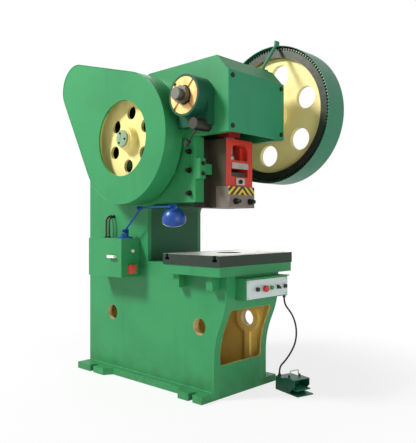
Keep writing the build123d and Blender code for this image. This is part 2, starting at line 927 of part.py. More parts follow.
# Bronze bushes with four oil notches across the outer face of each
with BuildPart() as crank_bushes:
    for inner, outer in ((-bearing_inside, -boss_face), (bearing_inside, right_boss_face)):
        rod_x(inner, outer, crank_axis, bush_outside)
        with BuildSketch(Plane.YZ.offset(outer)):
            with Locations(crank_axis):
                Rectangle(bush_outside + overrun, bush_notch, rotation=45)
                Rectangle(bush_outside + overrun, bush_notch, rotation=-45)
        extrude(amount=-bush_notch_depth if outer > 0 else bush_notch_depth, mode=Mode.SUBTRACT)
    rod_x(-boss_face - overrun, right_boss_face + overrun, crank_axis, journal + 2 * running_fit,
          Mode.SUBTRACT)
save(crank_bushes, "crank_bushes")

# Connecting rod, split at the crank pin, with its cap, bolts and ball-ended screw
with BuildPart() as connecting_rod:
    with BuildSketch(Plane.YZ.offset(-rod_width / 2)):
        with Locations(pin_axis):
            Circle(rod_outside / 2)
        with BuildLine():
            Polyline(
                (-rod_neck / 2, rod_bottom),
                (rod_neck / 2, rod_bottom),
                (rod_outside / 2, pin_height),
                (-rod_outside / 2, pin_height),
                close=True,
            )
        make_face()
        with Locations(pin_axis):
            Rectangle(rod_lug_width, rod_lug_height, align=(Align.CENTER, Align.MAX))
            Circle(crank_pin / 2 + running_fit, mode=Mode.SUBTRACT)
            Rectangle(2 * rod_outside, rod_outside, align=(Align.CENTER, Align.MIN), mode=Mode.SUBTRACT)
    extrude(amount=rod_width)
save(connecting_rod, "connecting_rod")

rod_bolt_y = (rod_lug_width - bolster_bolt_head) / 2
with BuildPart() as rod_cap:
    with BuildSketch(Plane.YZ.offset(-rod_width / 2)):
        with Locations(pin_axis):
            Circle(rod_outside / 2)
            Rectangle(2 * rod_outside, rod_outside, align=(Align.CENTER, Align.MAX), mode=Mode.SUBTRACT)
            Rectangle(rod_lug_width, rod_lug_height, align=(Align.CENTER, Align.MIN))
            Circle(crank_pin / 2 + running_fit, mode=Mode.SUBTRACT)
    extrude(amount=rod_width)
    for y in (-rod_bolt_y, rod_bolt_y):
        with BuildSketch(Plane.XY.offset(pin_height + rod_lug_height)):
            with Locations((0, y)):
                RegularPolygon(bolster_bolt_head / 2, side_count=6, major_radius=False)
        extrude(amount=bolster_bolt)
save(rod_cap, "rod_cap")

with BuildPart() as ball_screw:
    rod_z(ball_height, rod_bottom, (0, 0), screw_neck)
    with Locations((0, 0, ball_height)):
        Sphere(ball / 2)
    with BuildSketch(Plane.XY.offset(rod_bottom - lock_nut_height)):
        RegularPolygon(lock_nut / 2, side_count=6)
    extrude(amount=lock_nut_height)
save(ball_screw, "ball_screw")


def toothed_outline(teeth, at, turn):
    """Corner points of a spur gear with straight-flanked teeth, one of them at the turn angle."""
    pitch_radius = module * teeth / 2
    tip = pitch_radius + module
    root = pitch_radius - root_share * module
    lean = tan(radians(pressure_angle))
    half_tooth = (pi * module / 2 - backlash) / 2
    half_tip = half_tooth - module * lean
    half_root = half_tooth + root_share * module * lean
    points = []
    for tooth in range(teeth):
        middle = radians(turn) + 2 * pi * tooth / teeth
        for radius, half in ((root, -half_root), (tip, -half_tip), (tip, half_tip), (root, half_root)):
            angle = middle + half / radius
            points.append((at[0] + radius * cos(angle), at[1] + radius * sin(angle)))
    return points


# Bull gear: a toothed rim, a web with six round holes and a hub that runs on the crankshaft
gear_middle = gear_inside + gear_face / 2
with BuildPart() as bull_gear:
    with BuildSketch(Plane.YZ.offset(gear_inside)):
        with BuildLine():
            Polyline(*toothed_outline(gear_teeth, crank_axis, -mesh_angle), close=True)
        make_face()
        with Locations(crank_axis):
            Circle(rim_inner, mode=Mode.SUBTRACT)
    extrude(amount=gear_face)
    rod_x(gear_middle - gear_web / 2, gear_middle + gear_web / 2, crank_axis, 2 * rim_inner)
    rod_x(gear_inside - gear_hub_reach, collar_inside - seat_gap, crank_axis, gear_hub)
    with BuildSketch(Plane.YZ.offset(gear_inside)):
        with Locations(crank_axis):
            with PolarLocations(gear_hole_circle, wheel_holes, start_angle=180 - gear_hole_turn):
                Circle(gear_hole / 2)
    extrude(amount=gear_face, mode=Mode.SUBTRACT)
    rod_x(gear_inside - gear_hub_reach - overrun, collar_inside + overrun, crank_axis,
          shaft_end + 2 * running_fit, Mode.SUBTRACT)
save(bull_gear, "bull_gear")

# Pinion cut on its shaft, which runs through the frame in two bearings and carries the flywheel
with BuildPart() as pinion_shaft:
    with BuildSketch(Plane.YZ.offset(gear_inside)):
        with BuildLine():
            pinion_start = 180 - mesh_angle + 180 / pinion_teeth
            Polyline(*toothed_outline(pinion_teeth, drive_axis, pinion_start), close=True)
        make_face()
    extrude(amount=gear_face)
    rod_x(-flywheel_hub_front, gear_inside + gear_face + drive_shaft / 4, drive_axis, drive_shaft)
save(pinion_shaft, "pinion_shaft")

with BuildPart() as drive_bearings:
    rod_x(-flywheel_hub_back + seat_gap, -bearing_inside, drive_axis, pinion_bearing)
    rod_x(bearing_inside, gear_guard_inside, drive_axis, pinion_bearing)
    rod_x(-flywheel_hub_back - overrun, gear_guard_inside + overrun, drive_axis,
          drive_shaft + 2 * running_fit, Mode.SUBTRACT)
save(drive_bearings, "drive_bearings")

# Flywheel: rim, web and hub turned as one profile, then six round holes and the cap over the shaft
rim_back = -flywheel_face + flywheel_rim_width
rim_inside = flywheel_size / 2 - flywheel_rim
web_front = -flywheel_web_x - flywheel_web / 2
web_back = -flywheel_web_x + flywheel_web / 2
with BuildPart() as flywheel:
    with BuildSketch(Plane((0, drive_y, drive_z), x_dir=(1, 0, 0), z_dir=(0, -1, 0))):
        with BuildLine():
            Polyline(
                (-flywheel_hub_front, drive_shaft / 2 + seat_gap),
                (-flywheel_hub_front, flywheel_hub / 2),
                (web_front, flywheel_hub / 2 + flywheel_taper),
                (web_front, rim_inside - flywheel_taper),
                (-flywheel_face, rim_inside),
                (-flywheel_face, flywheel_size / 2),
                (rim_back, flywheel_size / 2),
                (rim_back, rim_inside),
                (web_back, rim_inside - flywheel_taper),
                (web_back, flywheel_hub / 2 + flywheel_taper),
                (-flywheel_hub_back, flywheel_hub / 2),
                (-flywheel_hub_back, drive_shaft / 2 + seat_gap),
                close=True,
            )
        make_face()
    revolve(axis=Axis((0, drive_y, drive_z), (1, 0, 0)))
    with BuildSketch(Plane.YZ.offset(-flywheel_face)):
        with Locations(drive_axis):
            with PolarLocations(flywheel_hole_circle, wheel_holes, start_angle=90 + flywheel_hole_turn):
                Circle(flywheel_hole / 2)
    extrude(amount=flywheel_rim_width, mode=Mode.SUBTRACT)
    rod_x(-flywheel_hub_front, -flywheel_hub_front - hub_cap_thick, drive_axis, hub_cap)
    chamfer(flywheel.faces().sort_by(Axis.X)[0].edges(), hub_cap_thick / 4)
    for y in (-cap_bolt_spacing / 2, cap_bolt_spacing / 2):
        nut_x(-flywheel_hub_front - hub_cap_thick, -flywheel_hub_front - 3 * hub_cap_thick / 2,
              (drive_y + y, drive_z), cap_bolt)
save(flywheel, "flywheel")

# Motor: ribbed body with feet and fan cover, and its pulley on the rotor shaft
with BuildPart() as motor:
    with BuildSketch(Plane.YZ.offset(-motor_face)):
        with Locations(motor_axis):
            Circle(motor_size / 2 - fin_height)
            with PolarLocations(motor_size / 2 - fin_height, motor_fins):
                Rectangle(2 * fin_height, fin_thick)
    extrude(amount=motor_length)
    block(-motor_face + motor_foot_inset, motor_back - motor_foot_inset,
          motor_back_y - motor_foot_width / 2, motor_back_y + motor_foot_width / 2,
          foot_bottom, foot_bottom + motor_foot_thick)
    block(-motor_face + motor_foot_inset, motor_back - motor_foot_inset,
          motor_back_y - motor_foot_width / 4, motor_back_y + motor_foot_width / 4,
          foot_bottom, motor_height - motor_size / 4)
    rod_x(-motor_face - overrun, -motor_face + motor_bore_depth, motor_axis,
          motor_shaft + 2 * running_fit, Mode.SUBTRACT)
    rod_x(motor_back, motor_back + fan_cover_length, motor_axis, fan_cover_size)
    chamfer(motor.faces().sort_by(Axis.X)[-1].edges(), fin_height)
save(motor, "motor")

belt_middle = -flywheel_face + flywheel_rim_width / 2
belt_places = [belt_middle + belt_pitch * (place - (belt_count - 1) / 2) for place in range(belt_count)]
groove_width = belt_width + 2 * seat_gap
with BuildPart() as motor_pulley:
    rod_x(-flywheel_face, rim_back, motor_axis, pulley_size)
    for x in belt_places:
        with BuildSketch(Plane.YZ.offset(x - groove_width / 2)):
            with Locations(motor_axis):
                Circle(pulley_size / 2 + overrun)
                Circle(pulley_size / 2 - pulley_groove, mode=Mode.SUBTRACT)
        extrude(amount=groove_width, mode=Mode.SUBTRACT)
    rod_x(rim_back, -motor_face + motor_bore_depth - seat_gap, motor_axis, motor_shaft)
save(motor_pulley, "motor_pulley")

# Drive belts, side by side round the flywheel rim and in the pulley's grooves
belt_inner = ((drive_axis, flywheel_size / 2 + seat_gap),
              (motor_axis, pulley_size / 2 - pulley_groove + seat_gap))
belt_outer = [(at, radius + belt_height) for at, radius in belt_inner]
with BuildPart() as drive_belts:
    for x in belt_places:
        hull_x(x - belt_width / 2, x + belt_width / 2, belt_outer)
        hull_x(x - belt_width / 2, x + belt_width / 2, belt_inner, Mode.SUBTRACT)
save(drive_belts, "drive_belts")

# Belt guard: a deep sheet pan round the flywheel and the pulley, with a lipped window and fixing tabs
guard_outer = ((drive_axis, belt_guard_radius), (motor_axis, belt_guard_motor_radius))
guard_inner = [(at, radius - sheet) for at, radius in guard_outer]
with BuildPart() as belt_guard:
    hull_x(-belt_guard_face, -half_head, guard_outer)
    hull_x(-belt_guard_face + sheet, -half_head + overrun, guard_inner, Mode.SUBTRACT)
    rod_x(-belt_guard_face, -belt_guard_face + window_lip, drive_axis, belt_guard_window + 2 * sheet)
    rod_x(-belt_guard_face - overrun, -belt_guard_face + window_lip + overrun, drive_axis,
          belt_guard_window, Mode.SUBTRACT)
    for angle in (*guard_lug_angles, guard_tab_angle):
        with BuildSketch(Plane.YZ.offset(-half_head)):
            with Locations(drive_axis):
                with PolarLocations(guard_tab_circle, 1, start_angle=angle):
                    Rectangle(guard_tab, guard_lug)
        extrude(amount=-sheet)
save(belt_guard, "belt_guard")

# Gear guard: a sheet band round gear and pinion, open in the middle, held by the bearing and a strap
gear_outer = ((crank_axis, gear_guard_radius), (drive_axis, pinion_guard_radius))
gear_inner = [(at, radius - sheet) for at, radius in gear_outer]
ear_z = crank_height + gear_guard_radius
strap_top = (gear_guard_inside + strap_ear / 2, strap_ear_y, ear_z + strap_ear_rise / 2)
strap_bottom = (strap_foot_x, strap_foot_y, head_top + strap_foot_thick / 2)
strap_run = Vector(*strap_top) - Vector(*strap_bottom)
with BuildPart() as gear_guard:
    hull_x(gear_guard_inside, gear_guard_outside, gear_outer)
    hull_x(gear_guard_inside - overrun, gear_guard_outside - sheet, gear_inner, Mode.SUBTRACT)
    rod_x(gear_guard_outside - 2 * sheet, gear_guard_outside + overrun, crank_axis, gear_guard_opening,
          Mode.SUBTRACT)
    rod_x(gear_guard_inside, gear_guard_inside + sheet, drive_axis, 2 * pinion_guard_radius)
    rod_x(gear_guard_inside - overrun, gear_guard_inside + 2 * sheet, drive_axis,
          drive_shaft + 2 * sheet, Mode.SUBTRACT)
    block(gear_guard_inside, gear_guard_inside + strap_ear, strap_ear_y - strap_ear_thick / 2,
          strap_ear_y + strap_ear_thick / 2, ear_z - 2 * sheet, ear_z + strap_ear_rise)
    with BuildSketch(Plane(strap_bottom, z_dir=strap_run)):
        Circle(strap_size / 2)
    extrude(amount=strap_run.length)
    block(-half_head, half_head, strap_foot_y - strap_foot, strap_foot_y + strap_foot,
          head_top - strap_size, head_top, Mode.SUBTRACT)
    block(strap_foot_x - strap_foot / 2, strap_foot_x + strap_foot / 2, strap_foot_y - strap_foot / 2,
          strap_foot_y + strap_foot / 2, head_top, head_top + strap_foot_thick)
save(gear_guard, "gear_guard")

# Clutch trip shaft on a spigot in the frame, and the trip rod with its knob
trip_rod_start = (-trip_rod_x, trip_y, trip_z)
trip_run = Vector(0, trip_rod_back, -trip_rod_drop)
with BuildPart() as trip_shaft:
    rod_x(-half_head - seat_gap, -trip_end, (trip_y, trip_z), trip_size)
    rod_x(-half_inside, -half_head - seat_gap, (trip_y, trip_z), trip_spigot)
    chamfer(trip_shaft.faces().sort_by(Axis.X)[0].edges(), trip_rod / 4)
    with BuildSketch(Plane(trip_rod_start, z_dir=trip_run)):
        Circle(trip_rod / 2)
    extrude(amount=trip_run.length)
    with BuildSketch(Plane(Vector(*trip_rod_start) + trip_run, z_dir=trip_run)):
        Circle(trip_knob / 2)
    extrude(amount=trip_knob_height)
save(trip_shaft, "trip_shaft")

# Switch cabinet on the left side plate: an open box, a pan door on a hinge rod, handle and switches
cabinet_face = -half_frame - cabinet_depth
cabinet_back_y = cabinet_front_y + cabinet_length
cabinet_top = cabinet_bottom + cabinet_height
with BuildPart() as cabinet_box:
    block(cabinet_face, -half_frame, cabinet_front_y, cabinet_back_y, cabinet_bottom, cabinet_top)
    block(cabinet_face - overrun, -half_frame - cabinet_sheet, cabinet_front_y + cabinet_sheet,
          cabinet_back_y - cabinet_sheet, cabinet_bottom + cabinet_sheet, cabinet_top - cabinet_sheet,
          Mode.SUBTRACT)
    rod_z(cabinet_bottom, cabinet_top, (cabinet_face, cabinet_back_y + hinge_pin / 2),
          hinge_pin - 2 * seat_gap)
    for z in (cabinet_bottom + hinge_lug, cabinet_top - hinge_lug):
        block(cabinet_face, cabinet_face + hinge_pin, cabinet_back_y, cabinet_back_y + hinge_pin / 2,
              z - hinge_lug / 2, z + hinge_lug / 2)
save(cabinet_box, "cabinet_box")

with BuildPart() as cabinet_door:
    block(door_face, cabinet_face - seat_gap, cabinet_front_y, cabinet_back_y, cabinet_bottom, cabinet_top)
    block(door_face + cabinet_sheet, cabinet_face + overrun, cabinet_front_y + cabinet_sheet,
          cabinet_back_y - cabinet_sheet, cabinet_bottom + cabinet_sheet, cabinet_top - cabinet_sheet,
          Mode.SUBTRACT)
    fillet(cabinet_door.faces().sort_by(Axis.X)[0].edges(), cabinet_sheet / 2)
save(cabinet_door, "cabinet_door")

handle_y = cabinet_front_y + handle_inset
handle_z = cabinet_bottom + cabinet_height * handle_z_share
handle_face = door_face - seat_gap
with BuildPart() as door_handle:
    rod_x(handle_face, handle_face - handle_standoff, (handle_y, handle_z), handle_shank)
    with BuildSketch(Plane.YZ.offset(handle_face - handle_standoff)):
        with Locations((handle_y + (handle_length - handle_width) / 2, handle_z)):
            SlotOverall(handle_length, handle_width)
    extrude(amount=-handle_thick)
    fillet(door_handle.faces().sort_by(Axis.X)[0].edges(), handle_thick / 4)
save(door_handle, "door_handle")

switch_x = -half_frame - cabinet_depth / 2
switch_z = cabinet_bottom + cabinet_height * switch_rise_share
knob_z = cabinet_bottom + cabinet_height * knob_rise_share
with BuildPart() as switch_base:
    block(switch_x - switch_width / 2, switch_x + switch_width / 2, cabinet_front_y - switch_thick,
          cabinet_front_y, switch_z - switch_height / 2, switch_z + switch_height / 2)
    fillet(switch_base.edges().filter_by(Axis.Y), switch_thick / 4)
    chamfer(switch_base.faces().sort_by(Axis.Y)[0].edges(), switch_thick / 8)
save(switch_base, "switch_base")

switch_face = cabinet_front_y - switch_thick - seat_gap
with BuildPart() as switch_grip:
    rod_y(switch_face - switch_grip_height / 2, switch_face, (switch_x, switch_z), switch_hub)
    with BuildSketch(Plane.XZ.offset(-switch_face + switch_grip_height / 2)):
        with Locations((switch_x, switch_z)):
            SlotOverall(switch_grip_length, switch_grip_width, rotation=90)
    extrude(amount=switch_grip_height / 2)
save(switch_grip, "switch_grip")

with BuildPart() as cabinet_knob:
    rod_y(cabinet_front_y - seat_gap, cabinet_front_y - knob_reach / 2, (switch_x, knob_z), knob_stem)
    rod_y(cabinet_front_y - knob_reach / 2, cabinet_front_y - knob_reach, (switch_x, knob_z), knob_size)
    fillet(cabinet_knob.faces().sort_by(Axis.Y)[0].edges(), knob_reach / 6)
save(cabinet_knob, "cabinet_knob")

# Two conduits from the cabinet's top into the side plate
with BuildPart() as conduits:
    for place in (0, 1):
        y = cabinet_back_y - conduit_inset - place * conduit_spacing
        with BuildLine() as route:
            FilletPolyline(
                (-half_frame - conduit_reach, y, cabinet_top),
                (-half_frame - conduit_reach, y, cabinet_top + conduit_rise),
                (-half_frame, y, cabinet_top + conduit_rise),
                radius=conduit_bend,
            )
        with BuildSketch(Plane((-half_frame - conduit_reach, y, cabinet_top))):
            Circle(conduit / 2)
        sweep(path=route.line)
save(conduits, "conduits")

# Control box under the table, with a lid, a panel and its buttons
box_middle = (box_left + box_right) / 2
panel_plane = Plane(
    (box_middle, box_front, (box_bottom + box_top) / 2),
    x_dir=(1, 0, 0),
    z_dir=(0, -1, 0),
)
button_places = [box_left + first_button + place * button_pitch - box_middle for place in range(5)]
button_hole = button_size + 2 * seat_gap

with BuildPart() as control_box:
    block(box_left, box_right, box_front, box_back, box_bottom, box_top)
    with BuildSketch(panel_plane):
        for x in button_places:
            with Locations((x, 0)):
                Circle(button_hole / 2)
    extrude(amount=-(button_sink + button_travel + panel_thick), mode=Mode.SUBTRACT)
    block(box_left - lid_overhang / 2, box_right + lid_overhang / 2, box_front - lid_overhang, box_back,
          box_top, box_top + lid_thick)
save(control_box, "control_box")

with BuildPart() as control_panel:
    with BuildSketch(panel_plane):
        Rectangle(box_right - box_left - 2 * panel_margin, box_top - box_bottom - 2 * panel_margin)
    extrude(amount=panel_thick)
    with BuildSketch(panel_plane.offset(panel_thick)):
        for x in button_places:
            with Locations((x, 0)):
                Circle(button_ring / 2)
    extrude(amount=button_ring_height)
    with BuildSketch(panel_plane):
        for x in button_places:
            with Locations((x, 0)):
                Circle(button_hole / 2)
    extrude(amount=panel_thick + button_ring_height, mode=Mode.SUBTRACT)
save(control_panel, "control_panel")

button_top = panel_thick + button_ring_height


def push_button(place, cap_size, cap_height):
    """A push button: a stem in the panel's ring and a rounded cap that clears the ring when pressed."""
    with BuildPart() as piece:
        with BuildSketch(panel_plane.offset(-button_sink)):
            with Locations((button_places[place], 0)):
                Circle(button_size / 2)
        extrude(amount=button_sink + button_top + button_height)
        with BuildSketch(panel_plane.offset(button_top + button_travel + seat_gap)):
            with Locations((button_places[place], 0)):
                Circle(cap_size / 2)
        extrude(amount=cap_height)
        fillet(piece.faces().sort_by(Axis.Y)[0].edges(), cap_height / 3)
    return piece


save(push_button(0, button_size, button_height), "start_button")
save(push_button(1, mushroom_size, mushroom_height), "stop_button")
save(push_button(2, button_size, button_height), "motor_button")
save(push_button(4, button_size, button_height), "inch_button")

with BuildPart() as selector_knob:
    with BuildSketch(panel_plane.offset(-button_sink)):
        with Locations((button_places[3], 0)):
            Circle(button_size / 2)
    extrude(amount=button_sink + button_top + button_height / 3)
    with BuildSketch(panel_plane.offset(button_top)):
        with Locations((button_places[3], 0)):
            SlotOverall(button_ring, selector_grip, rotation=-35)
    extrude(amount=selector_height)
save(selector_knob, "selector_knob")

# Foot pedal, turned on the floor: housing with a hood, treadle on a pin and a wire carrying handle
pedal_plane = Plane(
    (pedal_x, pedal_y, 0),
    x_dir=(cos(radians(pedal_turn)), sin(radians(pedal_turn)), 0),
    z_dir=(0, 0, 1),
)


def pedal_side(x):
    """A plane across the pedal at x, with its own axes to the pedal's back and up."""
    start = pedal_plane.from_local_coords((x, 0, 0))
    return Plane(start, x_dir=pedal_plane.y_dir, z_dir=pedal_plane.x_dir)


pedal_back = pedal_length / 2
pedal_half = pedal_width / 2
hood_back = pedal_back - pedal_box_length
hood_front = -pedal_back + hood_setback
treadle_y = hood_back - pedal_wall - treadle_pin_inset
treadle_axis = (treadle_y, treadle_pin_height)
treadle_middle = (treadle_y - pedal_back + treadle_front) / 2
wire_y = hood_back - wire_setback
wire_z = hood_height + wire_ear / 2
wire_half = wire_length / 2
ear_start = wire_half + wire
with BuildPart() as pedal_housing:
    with BuildSketch(pedal_side(-pedal_half)):
        with BuildLine():
            Polyline(
                (pedal_back, 0),
                (pedal_back, pedal_box_height),
                (hood_back, pedal_box_height),
                (hood_back - hood_rise, hood_height),
                (hood_front, hood_height),
                (hood_front, hood_lip),
                (hood_back - hood_side, 0),
                close=True,
            )
        make_face()
    extrude(amount=pedal_width)
    with BuildSketch(pedal_side(-pedal_half + pedal_wall)):
        with BuildLine():
            Polyline(
                (hood_back - pedal_wall, pedal_base),
                (hood_back - pedal_wall, pedal_box_height - pedal_wall),
                (hood_back - hood_rise - pedal_wall, hood_height - pedal_wall),
                (-pedal_back, hood_height - pedal_wall),
                (-pedal_back, pedal_base),
                close=True,
            )
        make_face()
    extrude(amount=pedal_width - 2 * pedal_wall, mode=Mode.SUBTRACT)
    with BuildSketch(pedal_plane):
        Rectangle(pedal_width, pedal_length)
    extrude(amount=pedal_base)
    with BuildSketch(pedal_side(-pedal_half - overrun)):
        with Locations(treadle_axis):
            Circle(treadle_pin / 2 + running_fit)
    extrude(amount=pedal_width + 2 * overrun, mode=Mode.SUBTRACT)
    for x in (-ear_start - wire_ear_thick, ear_start):
        with BuildSketch(pedal_side(x)):
            with Locations((wire_y, wire_z)):
                Rectangle(wire_ear, wire_ear)
                Circle(wire / 2 + running_fit, mode=Mode.SUBTRACT)
        extrude(amount=wire_ear_thick)
save(pedal_housing, "pedal_housing")

with BuildPart() as treadle:
    with BuildSketch(pedal_side(-pedal_half + pedal_wall + treadle_clear)):
        with Locations(treadle_axis):
            Circle(treadle_pin)
        with Locations((treadle_middle, treadle_pin_height + treadle_pin - treadle_thick / 2)):
            Rectangle(treadle_y + pedal_back - treadle_front, treadle_thick)
    extrude(amount=pedal_width - 2 * pedal_wall - 2 * treadle_clear)
    with BuildSketch(pedal_side(-pedal_half)):
        with Locations(treadle_axis):
            Circle(treadle_pin / 2)
    extrude(amount=pedal_width)
save(treadle, "treadle")

wire_places = [
    (-ear_start - wire_ear_thick, wire_z),
    (-wire_half, wire_z),
    (-wire_half, wire_z + wire_rise),
    (wire_half, wire_z + wire_rise),
    (wire_half, wire_z),
    (ear_start + wire_ear_thick, wire_z),
]
with BuildPart() as carry_handle:
    with BuildLine() as route:
        FilletPolyline(
            *(pedal_plane.from_local_coords((x, wire_y, z)) for x, z in wire_places),
            radius=wire,
        )
    with BuildSketch(pedal_side(wire_places[0][0])):
        with Locations((wire_y, wire_z)):
            Circle(wire / 2)
    sweep(path=route.line)
save(carry_handle, "carry_handle")

# Pedal lead: two glands and one tube along straight runs and tangent arcs
gland_x = box_right - gland_inset
gland_y = box_front + gland_inset + panel_thick
pedal_gland = pedal_plane.from_local_coords((pedal_gland_x, pedal_gland_y, pedal_box_height))
with BuildPart() as cord_glands:
    rod_z(box_bottom, box_bottom - gland_height, (gland_x, gland_y), gland_size)
    chamfer(cord_glands.faces().sort_by(Axis.Z)[0].edges(), gland_height / 4)
    rod_z(pedal_box_height, pedal_box_height + gland_height, (pedal_gland.X, pedal_gland.Y), gland_size)
save(cord_glands, "cord_glands")

lead_start = Vector(gland_x, gland_y, box_bottom - gland_height)
lead_end = Vector(pedal_gland.X, pedal_gland.Y, pedal_box_height + gland_height)
lead_way = Vector(*lead_way_shares, 0)
cord_route = [
    lead_start,
    lead_start - Vector(0, 0, lead_straight),
    *(lead_start + drop * (lead_end - lead_start) + bulge * lead_bulge * lead_way
      for drop, bulge in lead_drop_bulge_shares),
    lead_end + Vector(0, 0, lead_straight),
    lead_end,
]


def cord_radii(points):
    """The largest arc that each corner's two runs allow, keeping a short straight between arcs."""
    bend_share = 0.45
    radii = []
    for before, corner, after in zip(points, points[1:], points[2:]):
        run_in = corner - before
        run_out = after - corner
        half_turn = radians(run_in.get_angle(run_out)) / 2
        radii.append(bend_share * min(run_in.length, run_out.length) / tan(half_turn))
    return radii


radii = cord_radii(cord_route)
print("pedal lead radii", [round(radius) for radius in radii])
with BuildPart() as pedal_lead:
    with BuildLine() as route:
        FilletPolyline(*cord_route, radius=radii)
    with BuildSketch(Plane(cord_route[0], z_dir=route.line % 0)):
        Circle(cord_size / 2)
    sweep(path=route.line)
cord_length = sum(edge.length for edge in route.line.edges())
cord_volume = pi * cord_size ** 2 / 4 * cord_length
print("pedal lead length", round(cord_length))
print("pedal lead volume share", round(pedal_lead.part.volume / cord_volume, 4))
save(pedal_lead, "pedal_lead")

# Work lamp on the cabinet: base, two arms side by side, shade with its socket, and the bulb
lamp_z = cabinet_top + lamp_flange_thick + lamp_hub_height + lamp_pivot_rise
upper_x = lamp_x - lamp_knuckle_width - seat_gap
half_knuckle = lamp_knuckle_width / 2


def lamp_link(x, start, end, pin_at_start, pin_at_end):
    """An arm between two knuckles, with a hole or a pin to the side at each of them."""
    with BuildPart() as piece:
        run = Vector(0, end[0] - start[0], end[1] - start[1])
        with BuildSketch(Plane((x, *start), z_dir=run)):
            Circle(lamp_arm / 2)
        extrude(amount=run.length)
        for at, pin in ((start, pin_at_start), (end, pin_at_end)):
            rod_x(x - half_knuckle, x + half_knuckle, at, lamp_knuckle)
            if pin:
                rod_x(x, x + pin * (half_knuckle + seat_gap + lamp_knuckle_width), at, lamp_pin)
            else:
                rod_x(x - lamp_knuckle, x + lamp_knuckle, at, lamp_pin + 2 * running_fit, Mode.SUBTRACT)
    return piece


with BuildPart() as lamp_foot:
    rod_z(cabinet_top, cabinet_top + lamp_flange_thick, (lamp_x, lamp_y), lamp_flange)
    chamfer(lamp_foot.faces().sort_by(Axis.Z)[-1].edges(), lamp_flange_thick / 2)
    rod_z(cabinet_top + lamp_flange_thick, lamp_z - lamp_pivot_rise, (lamp_x, lamp_y), lamp_hub)
    block(lamp_x + half_knuckle + seat_gap, lamp_x + half_knuckle + seat_gap + lamp_knuckle_width,
          lamp_y - lamp_knuckle / 2, lamp_y + lamp_knuckle / 2, cabinet_top + lamp_flange_thick,
          lamp_z + lamp_knuckle / 2)
    rod_x(lamp_x - half_knuckle, lamp_x + half_knuckle + lamp_knuckle_width, (lamp_y, lamp_z), lamp_pin)
save(lamp_foot, "lamp_foot")

save(lamp_link(lamp_x, (lamp_y, lamp_z), (elbow_y, elbow_z), 0, -1), "lamp_lower_arm")
save(lamp_link(upper_x, (elbow_y, elbow_z), (neck_y, neck_z), 0, 1), "lamp_upper_arm")

shade_plane = Plane((lamp_x, neck_y, neck_z), z_dir=shade_aim_shares)
shade_profile = Plane(shade_plane.origin, x_dir=shade_plane.x_dir, z_dir=-shade_plane.y_dir)
shade_axis = Axis(shade_plane.origin, shade_plane.z_dir)
shade_top = socket_length / 2
shade_rim = (shade_size / 2, shade_top + shade_height)
shade_shoulder = (shade_size / 2 * shade_shoulder_shares[0],
                  shade_top + shade_height * shade_shoulder_shares[1])
with BuildPart() as lamp_shade:
    with BuildSketch(shade_profile):
        with BuildLine():
            ThreePointArc((shade_neck / 2, shade_top), shade_shoulder, shade_rim)
            offset(amount=shade_wall, side=Side.LEFT)
        make_face()
    revolve(axis=shade_axis)
    with BuildSketch(shade_plane.offset(-lamp_pin)):
        Circle(shade_neck / 2)
    extrude(amount=shade_top + lamp_pin + shade_wall)
    rod_x(lamp_x - half_knuckle, lamp_x + lamp_knuckle, (neck_y, neck_z), lamp_knuckle)
    rod_x(upper_x - lamp_knuckle_width, upper_x + half_knuckle + seat_gap, (neck_y, neck_z), shade_size,
          Mode.SUBTRACT)
    rod_x(upper_x, lamp_x + lamp_knuckle + overrun, (neck_y, neck_z), lamp_pin + 2 * running_fit,
          Mode.SUBTRACT)
save(lamp_shade, "lamp_shade")

with BuildPart() as bulb:
    bulb_middle = shade_top + shade_wall + bulb_size
    with BuildSketch(shade_plane.offset(shade_top + shade_wall)):
        Circle(bulb_size / 4)
    extrude(amount=bulb_size)
    with Locations(shade_plane.offset(bulb_middle).location):
        Sphere(bulb_size / 2)
save(bulb, "bulb")
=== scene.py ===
"""Looks of a deep-throat mechanical punch press, dressed over its solids in one shared frame."""
from __future__ import annotations

import json
import logging
import math
from dataclasses import dataclass, field
from enum import Enum
from functools import cache
from typing import Any, Iterable, Sequence

import bpy
from mathutils import Matrix, Vector

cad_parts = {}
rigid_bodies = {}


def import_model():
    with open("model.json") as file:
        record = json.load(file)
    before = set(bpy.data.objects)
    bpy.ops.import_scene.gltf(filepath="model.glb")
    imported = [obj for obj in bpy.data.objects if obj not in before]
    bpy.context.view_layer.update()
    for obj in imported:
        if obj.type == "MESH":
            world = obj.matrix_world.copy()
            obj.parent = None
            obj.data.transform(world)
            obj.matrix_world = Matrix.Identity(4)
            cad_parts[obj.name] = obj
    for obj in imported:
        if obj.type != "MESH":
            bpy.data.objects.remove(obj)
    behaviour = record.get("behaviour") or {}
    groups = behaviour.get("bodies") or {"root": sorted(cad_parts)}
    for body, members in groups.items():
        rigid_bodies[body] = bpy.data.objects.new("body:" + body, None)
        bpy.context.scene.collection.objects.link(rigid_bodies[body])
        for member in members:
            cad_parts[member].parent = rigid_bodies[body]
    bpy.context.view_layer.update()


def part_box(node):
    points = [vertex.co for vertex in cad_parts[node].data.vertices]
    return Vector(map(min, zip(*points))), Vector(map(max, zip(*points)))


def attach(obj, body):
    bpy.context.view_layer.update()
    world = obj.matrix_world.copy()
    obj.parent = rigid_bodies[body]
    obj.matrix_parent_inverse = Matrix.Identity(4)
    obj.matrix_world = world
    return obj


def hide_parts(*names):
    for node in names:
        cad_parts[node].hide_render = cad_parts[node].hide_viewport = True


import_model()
LOG = logging.getLogger("press")
Triple = tuple[float, float, float]
Pair = tuple[float, float]
Pairs = tuple[Pair, ...]
Rgba = tuple[float, float, float, float]
Piece = bpy.types.Object

# Axes along X, as places on Y and Z in metres
CRANK_AXIS: Pair = (0.0, 1.82)
DRIVE_AXIS: Pair = (0.584677, 1.62607)
MOTOR_AXIS: Pair = (1.108, 2.038)

